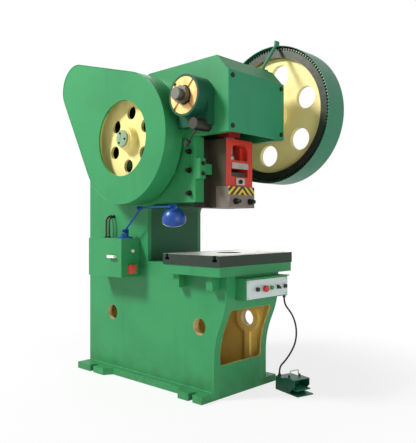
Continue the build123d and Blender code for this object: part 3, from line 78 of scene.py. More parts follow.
# The lamp's shade: its top, where it faces, and the middle of its round profile as radius and depth
SHADE_TOP: Triple = (-0.332, 0.169, 1.166)
SHADE_AIM: Triple = (0.40, 0.34, -0.85)
SHADE_ARC: Pair = (-0.00375, 0.09256)

WHITE_LIGHT: Rgba = (1.0, 1.0, 1.0, 1.0)


def linear(red: float, green: float, blue: float) -> Rgba:
    """Turn a colour as seen on a screen, 0 to 255, into the shader's linear values by the sRGB curve.

    Args:
        red: red level.
        green: green level.
        blue: blue level.

    Returns:
        Red, green, blue and an alpha of one.
    """
    levels = []
    for level in (red, green, blue):
        share = level / 255.0
        levels.append(share / 12.92 if share <= 0.04045 else ((share + 0.055) / 1.055) ** 2.4)
    return levels[0], levels[1], levels[2], 1.0


@dataclass(frozen=True)
class Cloud:
    """A cloudy noise: clouds to the metre, layers of finer ones, factors along the axes and distortion."""

    scale: float
    detail: float = 3.0
    stretch: Triple = (1.0, 1.0, 1.0)
    warp: float = 0.0


@dataclass(frozen=True)
class Level:
    """The value at which a pattern starts to show, the one where it shows fully, and how strongly."""

    low: float
    high: float
    share: float = 1.0


class Maths(Enum):
    """What a Math node works out."""

    ADD = "ADD"
    SUBTRACT = "SUBTRACT"
    MULTIPLY = "MULTIPLY"
    DIVIDE = "DIVIDE"
    GREATER = "GREATER_THAN"
    LESS = "LESS_THAN"
    ABSOLUTE = "ABSOLUTE"
    FRACTION = "FRACT"
    ROOT = "SQRT"
    LARGER = "MAXIMUM"


class Sock:
    """An output socket that takes Python arithmetic and adds Math nodes for it."""

    def __init__(self, book: "Book", socket: bpy.types.NodeSocket) -> None:
        """Keep the socket and the book that makes its nodes."""
        self.book = book
        self.socket = socket

    def _join(self, maths: Maths, other: Any = None, swapped: bool = False) -> "Sock":
        """Add one Math node.

        Args:
            maths: what the node works out.
            other: the second value or socket.
            swapped: true where the other value comes first.

        Returns:
            The node's output.
        """
        first, second = (other, self) if swapped else (self, other)
        inputs = {0: first} if second is None else {0: first, 1: second}
        return self.book.add("ShaderNodeMath", {"operation": maths.value}, inputs)

    def __add__(self, other: Any) -> "Sock":
        """Sum."""
        return self._join(Maths.ADD, other)

    def __radd__(self, other: Any) -> "Sock":
        """Sum with a number first."""
        return self._join(Maths.ADD, other, True)

    def __sub__(self, other: Any) -> "Sock":
        """Difference."""
        return self._join(Maths.SUBTRACT, other)

    def __rsub__(self, other: Any) -> "Sock":
        """Difference from a number."""
        return self._join(Maths.SUBTRACT, other, True)

    def __mul__(self, other: Any) -> "Sock":
        """Product."""
        return self._join(Maths.MULTIPLY, other)

    def __rmul__(self, other: Any) -> "Sock":
        """Product with a number first."""
        return self._join(Maths.MULTIPLY, other, True)

    def __truediv__(self, other: Any) -> "Sock":
        """Quotient."""
        return self._join(Maths.DIVIDE, other)

    def __rtruediv__(self, other: Any) -> "Sock":
        """Quotient of a number."""
        return self._join(Maths.DIVIDE, other, True)

    def __gt__(self, other: Any) -> "Sock":
        """One where the value is larger."""
        return self._join(Maths.GREATER, other)

    def __lt__(self, other: Any) -> "Sock":
        """One where the value is smaller."""
        return self._join(Maths.LESS, other)

    def __abs__(self) -> "Sock":
        """Size without sign."""
        return self._join(Maths.ABSOLUTE)

    def at_least(self, low: float) -> "Sock":
        """The value, but never less than a lowest one."""
        return self._join(Maths.LARGER, low)

    def part(self) -> "Sock":
        """What is left after whole numbers are taken away."""
        return self._join(Maths.FRACTION)

    def root(self) -> "Sock":
        """Square root."""
        return self._join(Maths.ROOT)

    def ramp(self, low: float, high: float) -> "Sock":
        """Rise smoothly from zero to one.

        Args:
            low: value that gives zero.
            high: value that gives one.

        Returns:
            The smoothed value.
        """
        settings = {"interpolation_type": "SMOOTHSTEP", "clamp": True}
        inputs = {"Value": self, "From Min": low, "From Max": high}
        return self.book.add("ShaderNodeMapRange", settings, inputs)

    def show(self, level: Level) -> "Sock":
        """Rise smoothly from zero to a level's share."""
        return self.ramp(level.low, level.high) * level.share


def weigh(patterns: Sequence[Sock], shares: Sequence[float], start: float = 0.0) -> Sock:
    """Add up patterns, each by its own share.

    Args:
        patterns: values that change over the surface.
        shares: factor of each.
        start: value that they are added to.

    Returns:
        The sum.
    """
    total: Any = start
    for pattern, share in zip(patterns, shares):
        total = total + pattern * share
    return total


class Book:
    """A node tree and the one way in which nodes are added to it."""

    def __init__(self, tree: bpy.types.NodeTree) -> None:
        """Start with an empty tree."""
        self.tree = tree
        self.tree.nodes.clear()

    def node(self, kind: str, settings: dict[str, Any], inputs: dict[Any, Any]) -> bpy.types.Node:
        """Make one node.

        Args:
            kind: the node's type name.
            settings: attributes set before its sockets.
            inputs: socket name or number to a value or a Sock.

        Returns:
            The node.
        """
        made = self.tree.nodes.new(kind)
        for key, value in settings.items():
            setattr(made, key, value)
        for key, value in inputs.items():
            self.feed(made.inputs[key], value)
        return made

    def add(self, kind: str, settings: dict[str, Any], inputs: dict[Any, Any], output: Any = 0) -> Sock:
        """Make one node and give the output with a name or number."""
        return Sock(self, self.node(kind, settings, inputs).outputs[output])

    def feed(self, socket: bpy.types.NodeSocket, value: Any) -> None:
        """Fill a socket.

        Args:
            socket: the input to fill.
            value: a Sock to link, or a plain value to set.
        """
        if isinstance(value, Sock):
            self.tree.links.new(value.socket, socket)
        else:
            socket.default_value = value

    def seen(self) -> Sock:
        """Tell the rays that show a thing from those that only light others.

        Returns:
            One for rays from the camera, from a mirror or through glass, zero for the rest.
        """
        path = self.node("ShaderNodeLightPath", {}, {})
        rays = ("Is Camera Ray", "Is Glossy Ray", "Is Transmission Ray")
        camera, glossy, through = (Sock(self, path.outputs[ray]) for ray in rays)
        return (camera + glossy + through).ramp(0.0, 1.0)


class Page(Book):
    """One material's tree, with the patterns and masks that the finishes share."""

    def __init__(self, name: str) -> None:
        """Start a material with a principled shader and the piece's own coordinates.

        Args:
            name: the material's name.
        """
        self.material = bpy.data.materials.new(name)
        self.material.use_nodes = True
        super().__init__(self.material.node_tree)
        self.shader = self.node("ShaderNodeBsdfPrincipled", {}, {})
        surface = Sock(self, self.shader.outputs[0])
        self.output = self.node("ShaderNodeOutputMaterial", {}, {"Surface": surface})
        self.place = self.add("ShaderNodeTexCoord", {}, {}, "Object")
        spread = self.node("ShaderNodeSeparateXYZ", {}, {0: self.place})
        self.x, self.y, self.z = (Sock(self, axis) for axis in spread.outputs)

    def noise(self, cloud: Cloud) -> Sock:
        """Cloudy noise on the piece's own coordinates.

        Args:
            cloud: its scale, detail, stretch and distortion.

        Returns:
            A value about one half.
        """
        place = self.place
        if cloud.stretch != Cloud.stretch:
            place = self.add("ShaderNodeMapping", {}, {"Vector": self.place, "Scale": cloud.stretch})
        inputs = {"Vector": place, "Scale": cloud.scale, "Detail": cloud.detail, "Distortion": cloud.warp}
        return self.add("ShaderNodeTexNoise", {}, inputs, "Fac")

    def mix(self, share: Any, first: Any, second: Any) -> Sock:
        """Blend two colours.

        Args:
            share: zero for the first colour, one for the second.
            first: screen colour or Sock.
            second: screen colour or Sock.

        Returns:
            The blended colour.
        """
        pair = [color if isinstance(color, Sock) else linear(*color) for color in (first, second)]
        return self.add("ShaderNodeMix", {"data_type": "RGBA"}, {0: share, 6: pair[0], 7: pair[1]}, 2)

    @staticmethod
    def radius(across: Sock, up: Sock, center: Pair) -> Sock:
        """Distance from an axis that runs along the third direction.

        Args:
            across: the first coordinate.
            up: the second coordinate.
            center: the axis's place on both.

        Returns:
            The distance.
        """
        side, rise = across - center[0], up - center[1]
        return (side * side + rise * rise).root()

    def box(self, low: Triple, high: Triple) -> Sock:
        """One inside a block of space, zero outside.

        Args:
            low: lowest corner in metres.
            high: highest corner in metres.

        Returns:
            The mask.
        """
        insides = [(axis > bottom) * (axis < top)
                   for axis, bottom, top in zip((self.x, self.y, self.z), low, high)]
        return math.prod(insides[1:], start=insides[0])

    def window(self, center: float, half: Pair, corner: float) -> Sock:
        """One inside a window with round corners that is cut along Y, zero outside.

        Args:
            center: height of its middle, in metres.
            half: half its width and half its height.
            corner: corner radius.

        Returns:
            The mask.
        """
        across = (abs(self.x) - (half[0] - corner)).at_least(0.0)
        up = (abs(self.z - center) - (half[1] - corner)).at_least(0.0)
        return (across * across + up * up).root() < corner

    def bump(self, height: Sock, strength: float, depth: float) -> None:
        """Raise the surface by a height pattern.

        Args:
            height: pattern.
            strength: share of the effect.
            depth: height in metres that a pattern of one stands for.
        """
        lifted = self.add("ShaderNodeBump", {}, {"Strength": strength, "Distance": depth, "Height": height})
        self.feed(self.shader.inputs["Normal"], lifted)

    def dress(self, **values: Any) -> None:
        """Fill the shader's own sockets, with names that use _ for a space."""
        for key, value in values.items():
            self.feed(self.shader.inputs[key.replace("_", " ")], value)


@dataclass(frozen=True)
class Finish:
    """A finish that can make its own material."""

    name: str
    color: Triple

    def fill(self, page: Page) -> None:
        """Lay the finish into a material's page."""
        raise NotImplementedError

    @cache
    def make(self) -> bpy.types.Material:
        """Make the material once and give the same one again later.

        Returns:
            The material.
        """
        page = Page(self.name)
        self.fill(page)
        return page.material


@dataclass(frozen=True)
class Paint(Finish):
    """Brushed machine enamel with faded patches, grime low down, small chips, bare primer and, where asked, a
    dark patch behind the flywheel that is painted shade and stands in part for belt dust.

    The rough shares belong to runs, grime and grain, and the relief shares to grain, brush marks and chips.
    """

    shade: Triple = (40.0, 95.0, 70.0)
    rough: float = 0.33
    grime_top: float = 0.3
    chips: float = 0.28
    primer_boxes: tuple[tuple[Triple, Triple], ...] = ()
    primer_holes: Pairs = ()
    hole_radius: float = 0.0533
    hole_reach: float = 0.2537
    hole_edge: Triple = (206.0, 184.0, 132.0)
    primer_window: tuple[float, Pair, float] | None = None
    primer: tuple[Triple, Triple] = ((255.0, 226.0, 128.0), (236.0, 194.0, 96.0))
    primer_level: Level = Level(0.3, 0.7)
    # Dark patch behind the flywheel: painted shade inside the belt guard, standing in part for belt dust
    dust_shade_center: Pair | None = None
    dust_shade_radius: float = 0.4
    dust_shade_side: float = -0.25
    dust_level: Level = Level(0.0, 0.03, 0.9)
    dust: Triple = (20.0, 24.0, 18.0)
    patches: Cloud = Cloud(2.3, 4.0, warp=0.4)
    fade_level: Level = Level(0.38, 0.72, 0.42)
    runs: Cloud = Cloud(5.0, 4.0, (3.2, 3.2, 0.35))
    run_level: Level = Level(0.55, 0.78, 0.12)
    run: Triple = (38.0, 62.0, 44.0)
    spots: Cloud = Cloud(11.0, 5.0)
    spot_level: Level = Level(0.32, 0.75)
    grime: Triple = (62.0, 58.0, 44.0)
    grime_share: float = 0.3
    flakes: Cloud = Cloud(70.0, 6.0, warp=0.8)
    flake_level: Level = Level(0.71, 0.73)
    worn_level: Level = Level(0.5, 0.62)
    chip: Triple = (50.0, 56.0, 50.0)
    grain: Cloud = Cloud(340.0, 2.0)
    brush: Cloud = Cloud(46.0, 3.0, (1.0, 1.0, 0.12))
    rough_shares: Triple = (0.14, 0.25, 0.05)
    relief_shares: Triple = (0.35, 0.65, -1.4)
    relief: Pair = (0.22, 0.0009)

    def undercoat(self, page: Page, color: Sock, patches: Sock) -> Sock:
        """Lay a dark patch behind the flywheel, painted shade inside the belt guard that stands in part for
        belt dust, and bare primer inside the frame and its openings.

        Args:
            page: the material's page.
            color: the paint so far.
            patches: large patches that tint the primer.

        Returns:
            The colour with both.
        """
        # Painted shade: the plate darkens within a radius of the drive axis on its outer side, where guard
        # and flywheel shade it; it stands in part for belt dust
        if self.dust_shade_center is not None:
            ring = page.radius(page.y, page.z, self.dust_shade_center)
            dust_shaded = (self.dust_shade_radius - ring).show(self.dust_level) * (page.x < self.dust_shade_side)
            color = page.mix(dust_shaded, color, self.dust)
        primer = page.mix(patches.show(self.primer_level), *self.primer)
        for low, high in self.primer_boxes:
            color = page.mix(page.box(low, high), color, primer)
        if self.primer_window is not None:
            color = page.mix(page.window(*self.primer_window), color, primer)
        for center in self.primer_holes:
            edge = (page.radius(page.y, page.z, center) < self.hole_radius) * (abs(page.x) < self.hole_reach)
            color = page.mix(edge, color, self.hole_edge)
        return color

    def fill(self, page: Page) -> None:
        """Lay paint, patches, runs, painted shade behind the flywheel, primer, grime and chips.

        Args:
            page: the material's page.
        """
        patches, runs, grain = (page.noise(cloud) for cloud in (self.patches, self.runs, self.grain))
        color = page.mix(patches.show(self.fade_level), self.color, self.shade)
        color = page.mix(runs.show(self.run_level), color, self.run)
        color = self.undercoat(page, color, patches)
        spots = page.noise(self.spots).show(self.spot_level)
        grimy = (self.grime_top - page.z).ramp(0.0, self.grime_top) * spots
        color = page.mix(grimy * self.grime_share, color, self.grime)
        chipped = page.noise(self.flakes).show(self.flake_level) * patches.show(self.worn_level)
        color = page.mix(chipped * self.chips, color, self.chip)
        page.dress(Base_Color=color, Roughness=weigh((runs, grimy, grain), self.rough_shares, self.rough),
                   Metallic=0.0, IOR=1.5, Specular_IOR_Level=0.28, Coat_Weight=0.04, Coat_Roughness=0.2)
        page.bump(weigh((grain, page.noise(self.brush), chipped), self.relief_shares), *self.relief)


@dataclass(frozen=True)
class Steel(Finish):
    """Machined steel with tool lines along one direction, oil stains and, where asked, a dark front."""

    lines: Triple = (8.0, 320.0, 320.0)
    rough: float = 0.34
    stain: float = 0.35
    metal: float = 1.0
    dark_front: float | None = None
    dark: Triple = (40.0, 44.0, 40.0)
    line_shade: float = 0.72
    line_share: float = 0.4
    stains: Cloud = Cloud(9.0, 5.0, warp=0.6)
    stain_level: Level = Level(0.45, 0.8)
    oil: Triple = (66.0, 58.0, 44.0)
    dull_level: Level = Level(0.4, 0.8, 0.2)
    pits: Cloud = Cloud(150.0, 4.0)
    rough_share: float = 0.16
    relief_shares: Pair = (0.7, 0.3)
    relief: Pair = (0.25, 0.0006)

    def fill(self, page: Page) -> None:
        """Lay tool lines and stains, and blacken what stands in front of a given place.

        Args:
            page: the material's page.
        """
        lines = page.noise(Cloud(1.0, stretch=self.lines))
        stains = page.noise(self.stains)
        shaded = [self.line_shade * level for level in self.color]
        color = page.mix(lines * self.line_share, self.color, shaded)
        color = page.mix(stains.show(self.stain_level) * self.stain, color, self.oil)
        if self.dark_front is not None:
            color = page.mix(page.y < self.dark_front, color, self.dark)
        page.dress(Base_Color=color, Metallic=self.metal,
                   Roughness=self.rough + lines * self.rough_share + stains.show(self.dull_level))
        page.bump(weigh((lines, page.noise(self.pits)), self.relief_shares), *self.relief)


@dataclass(frozen=True)
class Moulded(Finish):
    """Moulded plastic or rubber with a fine grain and dust, which pales the colour."""

    rough: float = 0.38
    grain: float = 900.0
    dust: Cloud = Cloud(35.0, 4.0)
    dust_level: Level = Level(0.5, 0.85, 0.3)
    pale_share: float = 0.8
    pale_lift: float = 24.0
    rough_share: float = 0.2
    relief: Pair = (0.2, 0.0003)

    def fill(self, page: Page) -> None:
        """Lay grain and dust.

        Args:
            page: the material's page.
        """
        dust = page.noise(self.dust)
        pale = [self.pale_share * level + self.pale_lift for level in self.color]
        page.dress(Base_Color=page.mix(dust.show(self.dust_level), self.color, pale),
                   Roughness=self.rough + dust * self.rough_share, IOR=1.46)
        page.bump(page.noise(Cloud(self.grain, 2.0)), *self.relief)


@dataclass(frozen=True)
class Bronze(Finish):
    """Turned bronze with rings about the crank's axis."""

    rings: float = 420.0
    tarnish: Cloud = Cloud(16.0, 5.0)
    patina_level: Level = Level(0.4, 0.75, 0.6)
    patina: Triple = (168.0, 118.0, 60.0)
    rough: float = 0.36
    rough_shares: Pair = (0.2, 0.1)
    relief: Pair = (0.25, 0.0005)

    def fill(self, page: Page) -> None:
        """Lay turned rings and a brown patina.

        Args:
            page: the material's page.
        """
        reach = page.radius(page.y, page.z, CRANK_AXIS)
        inputs = {"W": reach, "Scale": self.rings}
        rings = page.add("ShaderNodeTexNoise", {"noise_dimensions": "1D"}, inputs, "Fac")
        tarnish = page.noise(self.tarnish)
        page.dress(Base_Color=page.mix(tarnish.show(self.patina_level), self.color, self.patina),
                   Metallic=0.75, Roughness=weigh((rings, tarnish), self.rough_shares, self.rough))
        page.bump(rings, *self.relief)


@dataclass(frozen=True)
class Gear(Finish):
    """Wheel enamel on the web with a bare, greased, toothed rim, whose tooth tips are lighter as a painted
    highlight.
    """

    rim: float = 0.4
    rim_edge: Pair = (-0.001, 0.002)
    rim_waver: float = 0.002
    tip_highlight: float = 0.459
    tip_highlight_depth: float = 0.004
    patches: Cloud = Cloud(7.0, 5.0, warp=0.5)
    fade_level: Level = Level(0.45, 0.75, 0.4)
    faded: Triple = (236.0, 200.0, 112.0)
    smears: Cloud = Cloud(48.0, 5.0)
    grease: tuple[Triple, Triple] = ((26.0, 30.0, 26.0), (70.0, 74.0, 62.0))
    bright: Triple = (150.0, 152.0, 136.0)
    metal: float = 0.55
    rough: float = 0.4
    rough_shares: Pair = (-0.12, 0.2)
    relief_shares: Pair = (0.6, 0.4)
    relief: Pair = (0.3, 0.0012)

    def fill(self, page: Page) -> None:
        """Lay enamel inside the rim, black grease outside it and a painted highlight on the tooth tips.

        Args:
            page: the material's page.
        """
        reach = page.radius(page.y, page.z, CRANK_AXIS)
        patches, smears = page.noise(self.patches), page.noise(self.smears)
        low, high = (self.rim + edge for edge in self.rim_edge)
        greased = (reach + patches * self.rim_waver).ramp(low, high)
        enamel = page.mix(patches.show(self.fade_level), self.color, self.faded)
        teeth = page.mix(smears, *self.grease)
        # Painted highlight: the teeth turn to a light steel colour towards their tips
        teeth = page.mix(reach.ramp(self.tip_highlight - self.tip_highlight_depth, self.tip_highlight), teeth, self.bright)
        page.dress(Base_Color=page.mix(greased, enamel, teeth), Metallic=greased * self.metal,
                   Roughness=weigh((greased, smears), self.rough_shares, self.rough))
        page.bump(weigh((smears, patches), self.relief_shares), *self.relief)


@dataclass(frozen=True)
class SlidePaint(Finish):
    """Red enamel on the slide's front, with bare oily steel on its guides and round the clamp block."""

    half_width: float = 0.1275
    guide_front: float = 0.05
    clamp_top: float = 1.2935
    patches: Cloud = Cloud(8.0, 5.0, warp=0.4)
    fade_level: Level = Level(0.42, 0.75, 0.45)
    faded: Triple = (128.0, 26.0, 18.0)
    scrapes: Cloud = Cloud(1.0, 4.0, (220.0, 220.0, 6.0))
    steel: tuple[Triple, Triple] = ((110.0, 98.0, 82.0), (64.0, 54.0, 44.0))
    metal: float = 0.8
    rough: float = 0.34
    rough_share: float = 0.2
    patch_share: float = 0.3
    relief: Pair = (0.2, 0.0006)

    def fill(self, page: Page) -> None:
        """Lay enamel in front and oily steel elsewhere.

        Args:
            page: the material's page.
        """
        patches, scrapes = page.noise(self.patches), page.noise(self.scrapes)
        guides = (abs(page.x) > self.half_width) + (page.y > self.guide_front)
        bare = (guides + (page.z < self.clamp_top)).ramp(0.0, 1.0)
        enamel = page.mix(patches.show(self.fade_level), self.color, self.faded)
        page.dress(Base_Color=page.mix(bare, enamel, page.mix(scrapes, *self.steel)),
                   Metallic=bare * self.metal, Roughness=self.rough + scrapes * self.rough_share)
        page.bump(scrapes * bare + patches * self.patch_share, *self.relief)


@dataclass(frozen=True)
class Stripes(Finish):
    """Oiled block with a band of slanting yellow and black stripes that meet in the middle."""

    low: float = 1.242
    high: float = 1.293
    front: float = -0.105
    pitch: float = 0.05
    slope: float = 1.15
    black: Triple = (24.0, 24.0, 22.0)
    yellow: Triple = (226.0, 190.0, 40.0)
    stripe_level: Level = Level(0.46, 0.5)
    oil: Cloud = Cloud(14.0, 5.0)
    oil_level: Level = Level(0.4, 0.75, 0.5)
    oiled: Triple = (72.0, 64.0, 56.0)
    wear: Cloud = Cloud(60.0, 5.0)
    wear_level: Level = Level(0.62, 0.72, 0.35)
    worn: Triple = (86.0, 76.0, 62.0)
    rough: float = 0.4
    rough_share: float = 0.16
    relief: Pair = (0.15, 0.0006)

    def fill(self, page: Page) -> None:
        """Lay oiled metal, then the stripes across the band.

        Args:
            page: the material's page.
        """
        oil = page.noise(self.oil)
        slant = ((abs(page.x) + page.z * self.slope) / self.pitch).part()
        band = (page.z > self.low) * (page.z < self.high) * (page.y < self.front)
        metal = page.mix(oil.show(self.oil_level), self.color, self.oiled)
        color = page.mix(band, metal, page.mix(slant.show(self.stripe_level), self.yellow, self.black))
        color = page.mix(page.noise(self.wear).show(self.wear_level), color, self.worn)
        page.dress(Base_Color=color, Roughness=self.rough + oil * self.rough_share)
        page.bump(oil, *self.relief)


@dataclass(frozen=True)
class Bolster(Finish):
    """Ground plate: bright top with tool lines, dark scale on its sides; the near-white top is partly a
    painted highlight and the dark sides partly painted shade.
    """

    top: float = 0.8752
    lines: Cloud = Cloud(1.0, 3.0, (5.0, 260.0, 260.0))
    line_share: float = 0.45
    patches: Cloud = Cloud(7.0, 5.0, warp=0.5)
    patch_level: Level = Level(0.4, 0.7, 0.35)
    dull: Triple = (150.0, 150.0, 140.0)
    scale: Cloud = Cloud(55.0, 5.0)
    scale_and_shade: tuple[Triple, Triple] = ((18.0, 36.0, 28.0), (44.0, 58.0, 46.0))
    metal: Pair = (0.3, 0.45)
    rough: float = 0.55
    rough_shares: Pair = (-0.2, 0.12)
    relief_shares: Pair = (0.5, 0.5)
    relief: Pair = (0.25, 0.0008)

    def fill(self, page: Page) -> None:
        """Lay tool lines on the top, lighter in part as painted highlight, and dark scale elsewhere, darker
        in part as painted shade.

        Args:
            page: the material's page.
        """
        lines, scale = page.noise(self.lines), page.noise(self.scale)
        bright = page.z > self.top
        dulled = lines * self.line_share + page.noise(self.patches).show(self.patch_level)
        ground = page.mix(dulled, self.color, self.dull)
        # Painted highlight and shade: the top is near white, partly as a highlight, and the sides dark,
        # partly as shade
        page.dress(Base_Color=page.mix(bright, page.mix(scale, *self.scale_and_shade), ground),
                   Metallic=self.metal[0] + bright * self.metal[1],
                   Roughness=weigh((bright, lines), self.rough_shares, self.rough))
        page.bump(weigh((lines, scale), self.relief_shares), *self.relief)


@dataclass(frozen=True)
class Shade(Finish):
    """Blue enamel outside a lamp shade, white reflector inside it."""

    bend: float = 0.0779
    neck: float = 0.02
    patches: Cloud = Cloud(22.0, 4.0)
    fade_level: Level = Level(0.4, 0.8, 0.4)
    faded: Triple = (8.0, 44.0, 110.0)
    white_share: float = 0.3
    white: tuple[Triple, Triple] = ((236.0, 236.0, 228.0), (200.0, 198.0, 184.0))
    rough: float = 0.3
    rough_share: float = 0.14
    relief: Pair = (0.1, 0.0008)

    def fill(self, page: Page) -> None:
        """Lay enamel outside and white inside.

        Args:
            page: the material's page.
        """
        aim = Vector(SHADE_AIM).normalized()
        away = page.add("ShaderNodeVectorMath", {"operation": "SUBTRACT"}, {0: page.place, 1: SHADE_TOP})
        depth = page.add("ShaderNodeVectorMath", {"operation": "DOT_PRODUCT"}, {0: away, 1: aim}, "Value")
        reach = page.add("ShaderNodeVectorMath", {"operation": "LENGTH"}, {0: away}, "Value")
        ring = (reach * reach - depth * depth).root()
        inside = (page.radius(ring, depth, SHADE_ARC) < self.bend) * (depth > self.neck)
        patches = page.noise(self.patches)
        enamel = page.mix(patches.show(self.fade_level), self.color, self.faded)
        white = page.mix(patches * self.white_share, *self.white)
        page.dress(Base_Color=page.mix(inside, enamel, white),
                   Roughness=self.rough + patches * self.rough_share,
                   Specular_IOR_Level=0.4, Coat_Weight=0.08, Coat_Roughness=0.2)
        page.bump(patches, *self.relief)


@dataclass(frozen=True)
class Glass(Finish):
    """Frosted bulb glass."""

    milk: Cloud = Cloud(40.0)
    milk_share: float = 0.3
    milky: Triple = (220.0, 214.0, 196.0)
    rough: float = 0.18
    rough_share: float = 0.12

    def fill(self, page: Page) -> None:
        """Lay a milky glass with faint clouds.

        Args:
            page: the material's page.
        """
        milk = page.noise(self.milk)
        page.dress(Base_Color=page.mix(milk * self.milk_share, self.color, self.milky),
                   Roughness=self.rough + milk * self.rough_share, Transmission_Weight=0.35, IOR=1.45)


@dataclass(frozen=True)
class Floor(Finish):
    """Pale floor that keeps the shadow and turns white away from the press."""

    center: Pair = (0.0, 0.4)
    near: float = 1.0
    far: float = 2.4
    lift: float = 0.78
    patches: Cloud = Cloud(0.8)
    patch_share: float = 0.3
    pale: Triple = (226.0, 226.0, 224.0)

    def fill(self, page: Page) -> None:
        """Lay a pale matte ground that the camera sees as white far away.

        Args:
            page: the material's page.
        """
        patches = page.noise(self.patches)
        page.dress(Base_Color=page.mix(patches * self.patch_share, self.color, self.pale), Roughness=0.75)
        away = page.radius(page.x, page.y, self.center).ramp(self.near, self.far)
        share = page.seen() * (self.lift + away * (1.0 - self.lift))
        glow = page.add("ShaderNodeEmission", {}, {"Color": WHITE_LIGHT, "Strength": 1.0})
        ground = Sock(page, page.shader.outputs[0])
        blend = page.add("ShaderNodeMixShader", {}, {0: share, 1: ground, 2: glow})
        page.feed(page.output.inputs["Surface"], blend)


FRESH: Triple = (52.0, 142.0, 86.0)
FADED: Triple = (38.0, 122.0, 74.0)
CROSS_HOLES: Pairs = ((0.02, 0.43), (0.887, 0.43))
FRONT_WINDOW: tuple[float, Pair, float] = (0.37, (0.2004, 0.1704), 0.0254)
FRAME_INSIDE: tuple[Triple, Triple] = ((-0.22405, -0.2, 0.0445), (0.22405, 1.1355, 0.757))
BASE_INSIDE: tuple[Triple, Triple] = ((-0.22405, -0.0909, 0.0445), (0.22405, 1.1345, 0.06))
LOCK_PLATE_FRONT = -0.0973
SHELL_BEND = 0.0798


class Coat(Enum):
    """Every finish on the press."""

    GREEN = Paint("press_green", FRESH, FADED)
    # Painted shade: a darker, bluer copy of the press green on the front cover, standing in for the shade and
    # cool fill on faces turned forward
    FRONT = Paint("front_green_painted_shade", (40.0, 140.0, 98.0), (30.0, 118.0, 82.0))
    # Painted shade: a much darker green on the throat plate, standing in for the deep shade under the head
    THROAT_PAINTED_SHADE = Paint("throat_green_painted_shade", (26.0, 90.0, 56.0), (18.0, 72.0, 44.0))
    # The side plates carry the dark patch behind the flywheel, painted shade that stands in part for belt
    # dust
    SIDES = Paint("press_green_over_primer", FRESH, FADED, primer_holes=CROSS_HOLES, dust_shade_center=DRIVE_AXIS,
                  primer_boxes=(FRAME_INSIDE,))
    BASE = Paint("base_green_over_primer", FRESH, FADED, primer_boxes=(BASE_INSIDE,))
    WALL = Paint("wall_green_over_primer", FRESH, FADED, primer_window=FRONT_WINDOW)
    # Painted shade: a darker, bluer green on the gear guard's band, standing in for the shade on its outside
    BAND_PAINTED_SHADE = Paint("band_green_painted_shade", (36.0, 124.0, 88.0), (28.0, 102.0, 72.0), rough=0.3, chips=0.16)
    # Painted shade: a dark green on the bearing bosses, standing in for the shade on their sides
    BOSS_PAINTED_SHADE = Paint("boss_green_painted_shade", (20.0, 80.0, 56.0), (14.0, 62.0, 44.0))
    ROD = Paint("rod_red", (200.0, 40.0, 26.0), (150.0, 24.0, 16.0), rough=0.4)
    GUARD = Paint("guard_green", FRESH, FADED, rough=0.28, chips=0.16)
    CABINET = Paint("cabinet_green", FRESH, FADED, rough=0.3, chips=0.14)
    PEDAL = Paint("pedal_green", (8.0, 104.0, 78.0), (4.0, 76.0, 58.0), grime_top=0.12)
    MOTOR = Paint("motor_green", (84.0, 140.0, 112.0), (58.0, 104.0, 84.0))
    CAP = Paint("cap_grey_green", (150.0, 176.0, 142.0), (104.0, 134.0, 104.0), rough=0.4)
    WHEEL = Paint("wheel_cream", (250.0, 236.0, 160.0), (236.0, 212.0, 128.0), rough=0.36, chips=0.16)
    GEAR = Gear("gear_cream_and_grease", (255.0, 238.0, 160.0))
    SLIDE = SlidePaint("slide_red", (206.0, 52.0, 34.0))
    CLAMP = Stripes("clamp_stripes", (122.0, 112.0, 100.0))
    LAMP = Paint("lamp_blue", (8.0, 68.0, 142.0), (5.0, 48.0, 110.0), rough=0.26, chips=0.1)
    SHADE = Shade("lamp_blue_shade", (8.0, 68.0, 146.0))
    SHELL = Shade("lamp_blue_shell", (8.0, 68.0, 146.0), bend=SHELL_BEND)
    # The bolster's near-white top is in part a painted highlight and its dark sides are in part painted shade
    BOLSTER = Bolster("ground_bolster", (226.0, 226.0, 216.0))
    STEEL = Steel("machined_steel", (176.0, 174.0, 166.0))
    PLATES = Steel("plate_steel", (176.0, 174.0, 166.0), dark_front=LOCK_PLATE_FRONT)
    BOLT = Steel("bolt_steel", (50.0, 56.0, 50.0), lines=(300.0, 300.0, 300.0), rough=0.46)
    OILY = Steel("oily_steel", (74.0, 72.0, 66.0), lines=(240.0, 240.0, 240.0), rough=0.36, stain=0.6)
    SHAFT = Steel("shaft_steel", (112.0, 114.0, 106.0), lines=(500.0, 9.0, 9.0), stain=0.4)
    BRONZE = Bronze("bush_bronze", (232.0, 190.0, 124.0))
    PANEL = Steel("panel_satin", (206.0, 220.0, 216.0), lines=(6.0, 700.0, 700.0), rough=0.42, stain=0.08,
                  metal=0.55)
    RUBBER = Moulded("black_rubber", (22.0, 22.0, 23.0), rough=0.6, grain=500.0)
    BLACK = Moulded("black_plastic", (20.0, 20.0, 21.0))
    RED = Moulded("red_plastic", (198.0, 56.0, 56.0), rough=0.36)
    SALMON = Moulded("switch_red", (214.0, 84.0, 66.0), rough=0.36)
    GO = Moulded("green_plastic", (26.0, 142.0, 70.0), rough=0.3)
    WHITE = Moulded("white_plastic", (232.0, 230.0, 222.0), rough=0.32)
    GLASS = Glass("bulb_glass", (244.0, 242.0, 232.0))
    FLOOR = Floor("pale_floor", (240.0, 240.0, 239.0))

    def lay(self, piece: Piece) -> None:
        """Put this finish on a piece, in place of any that it has."""
        piece.data.materials.clear()
        piece.data.materials.append(self.value.make())


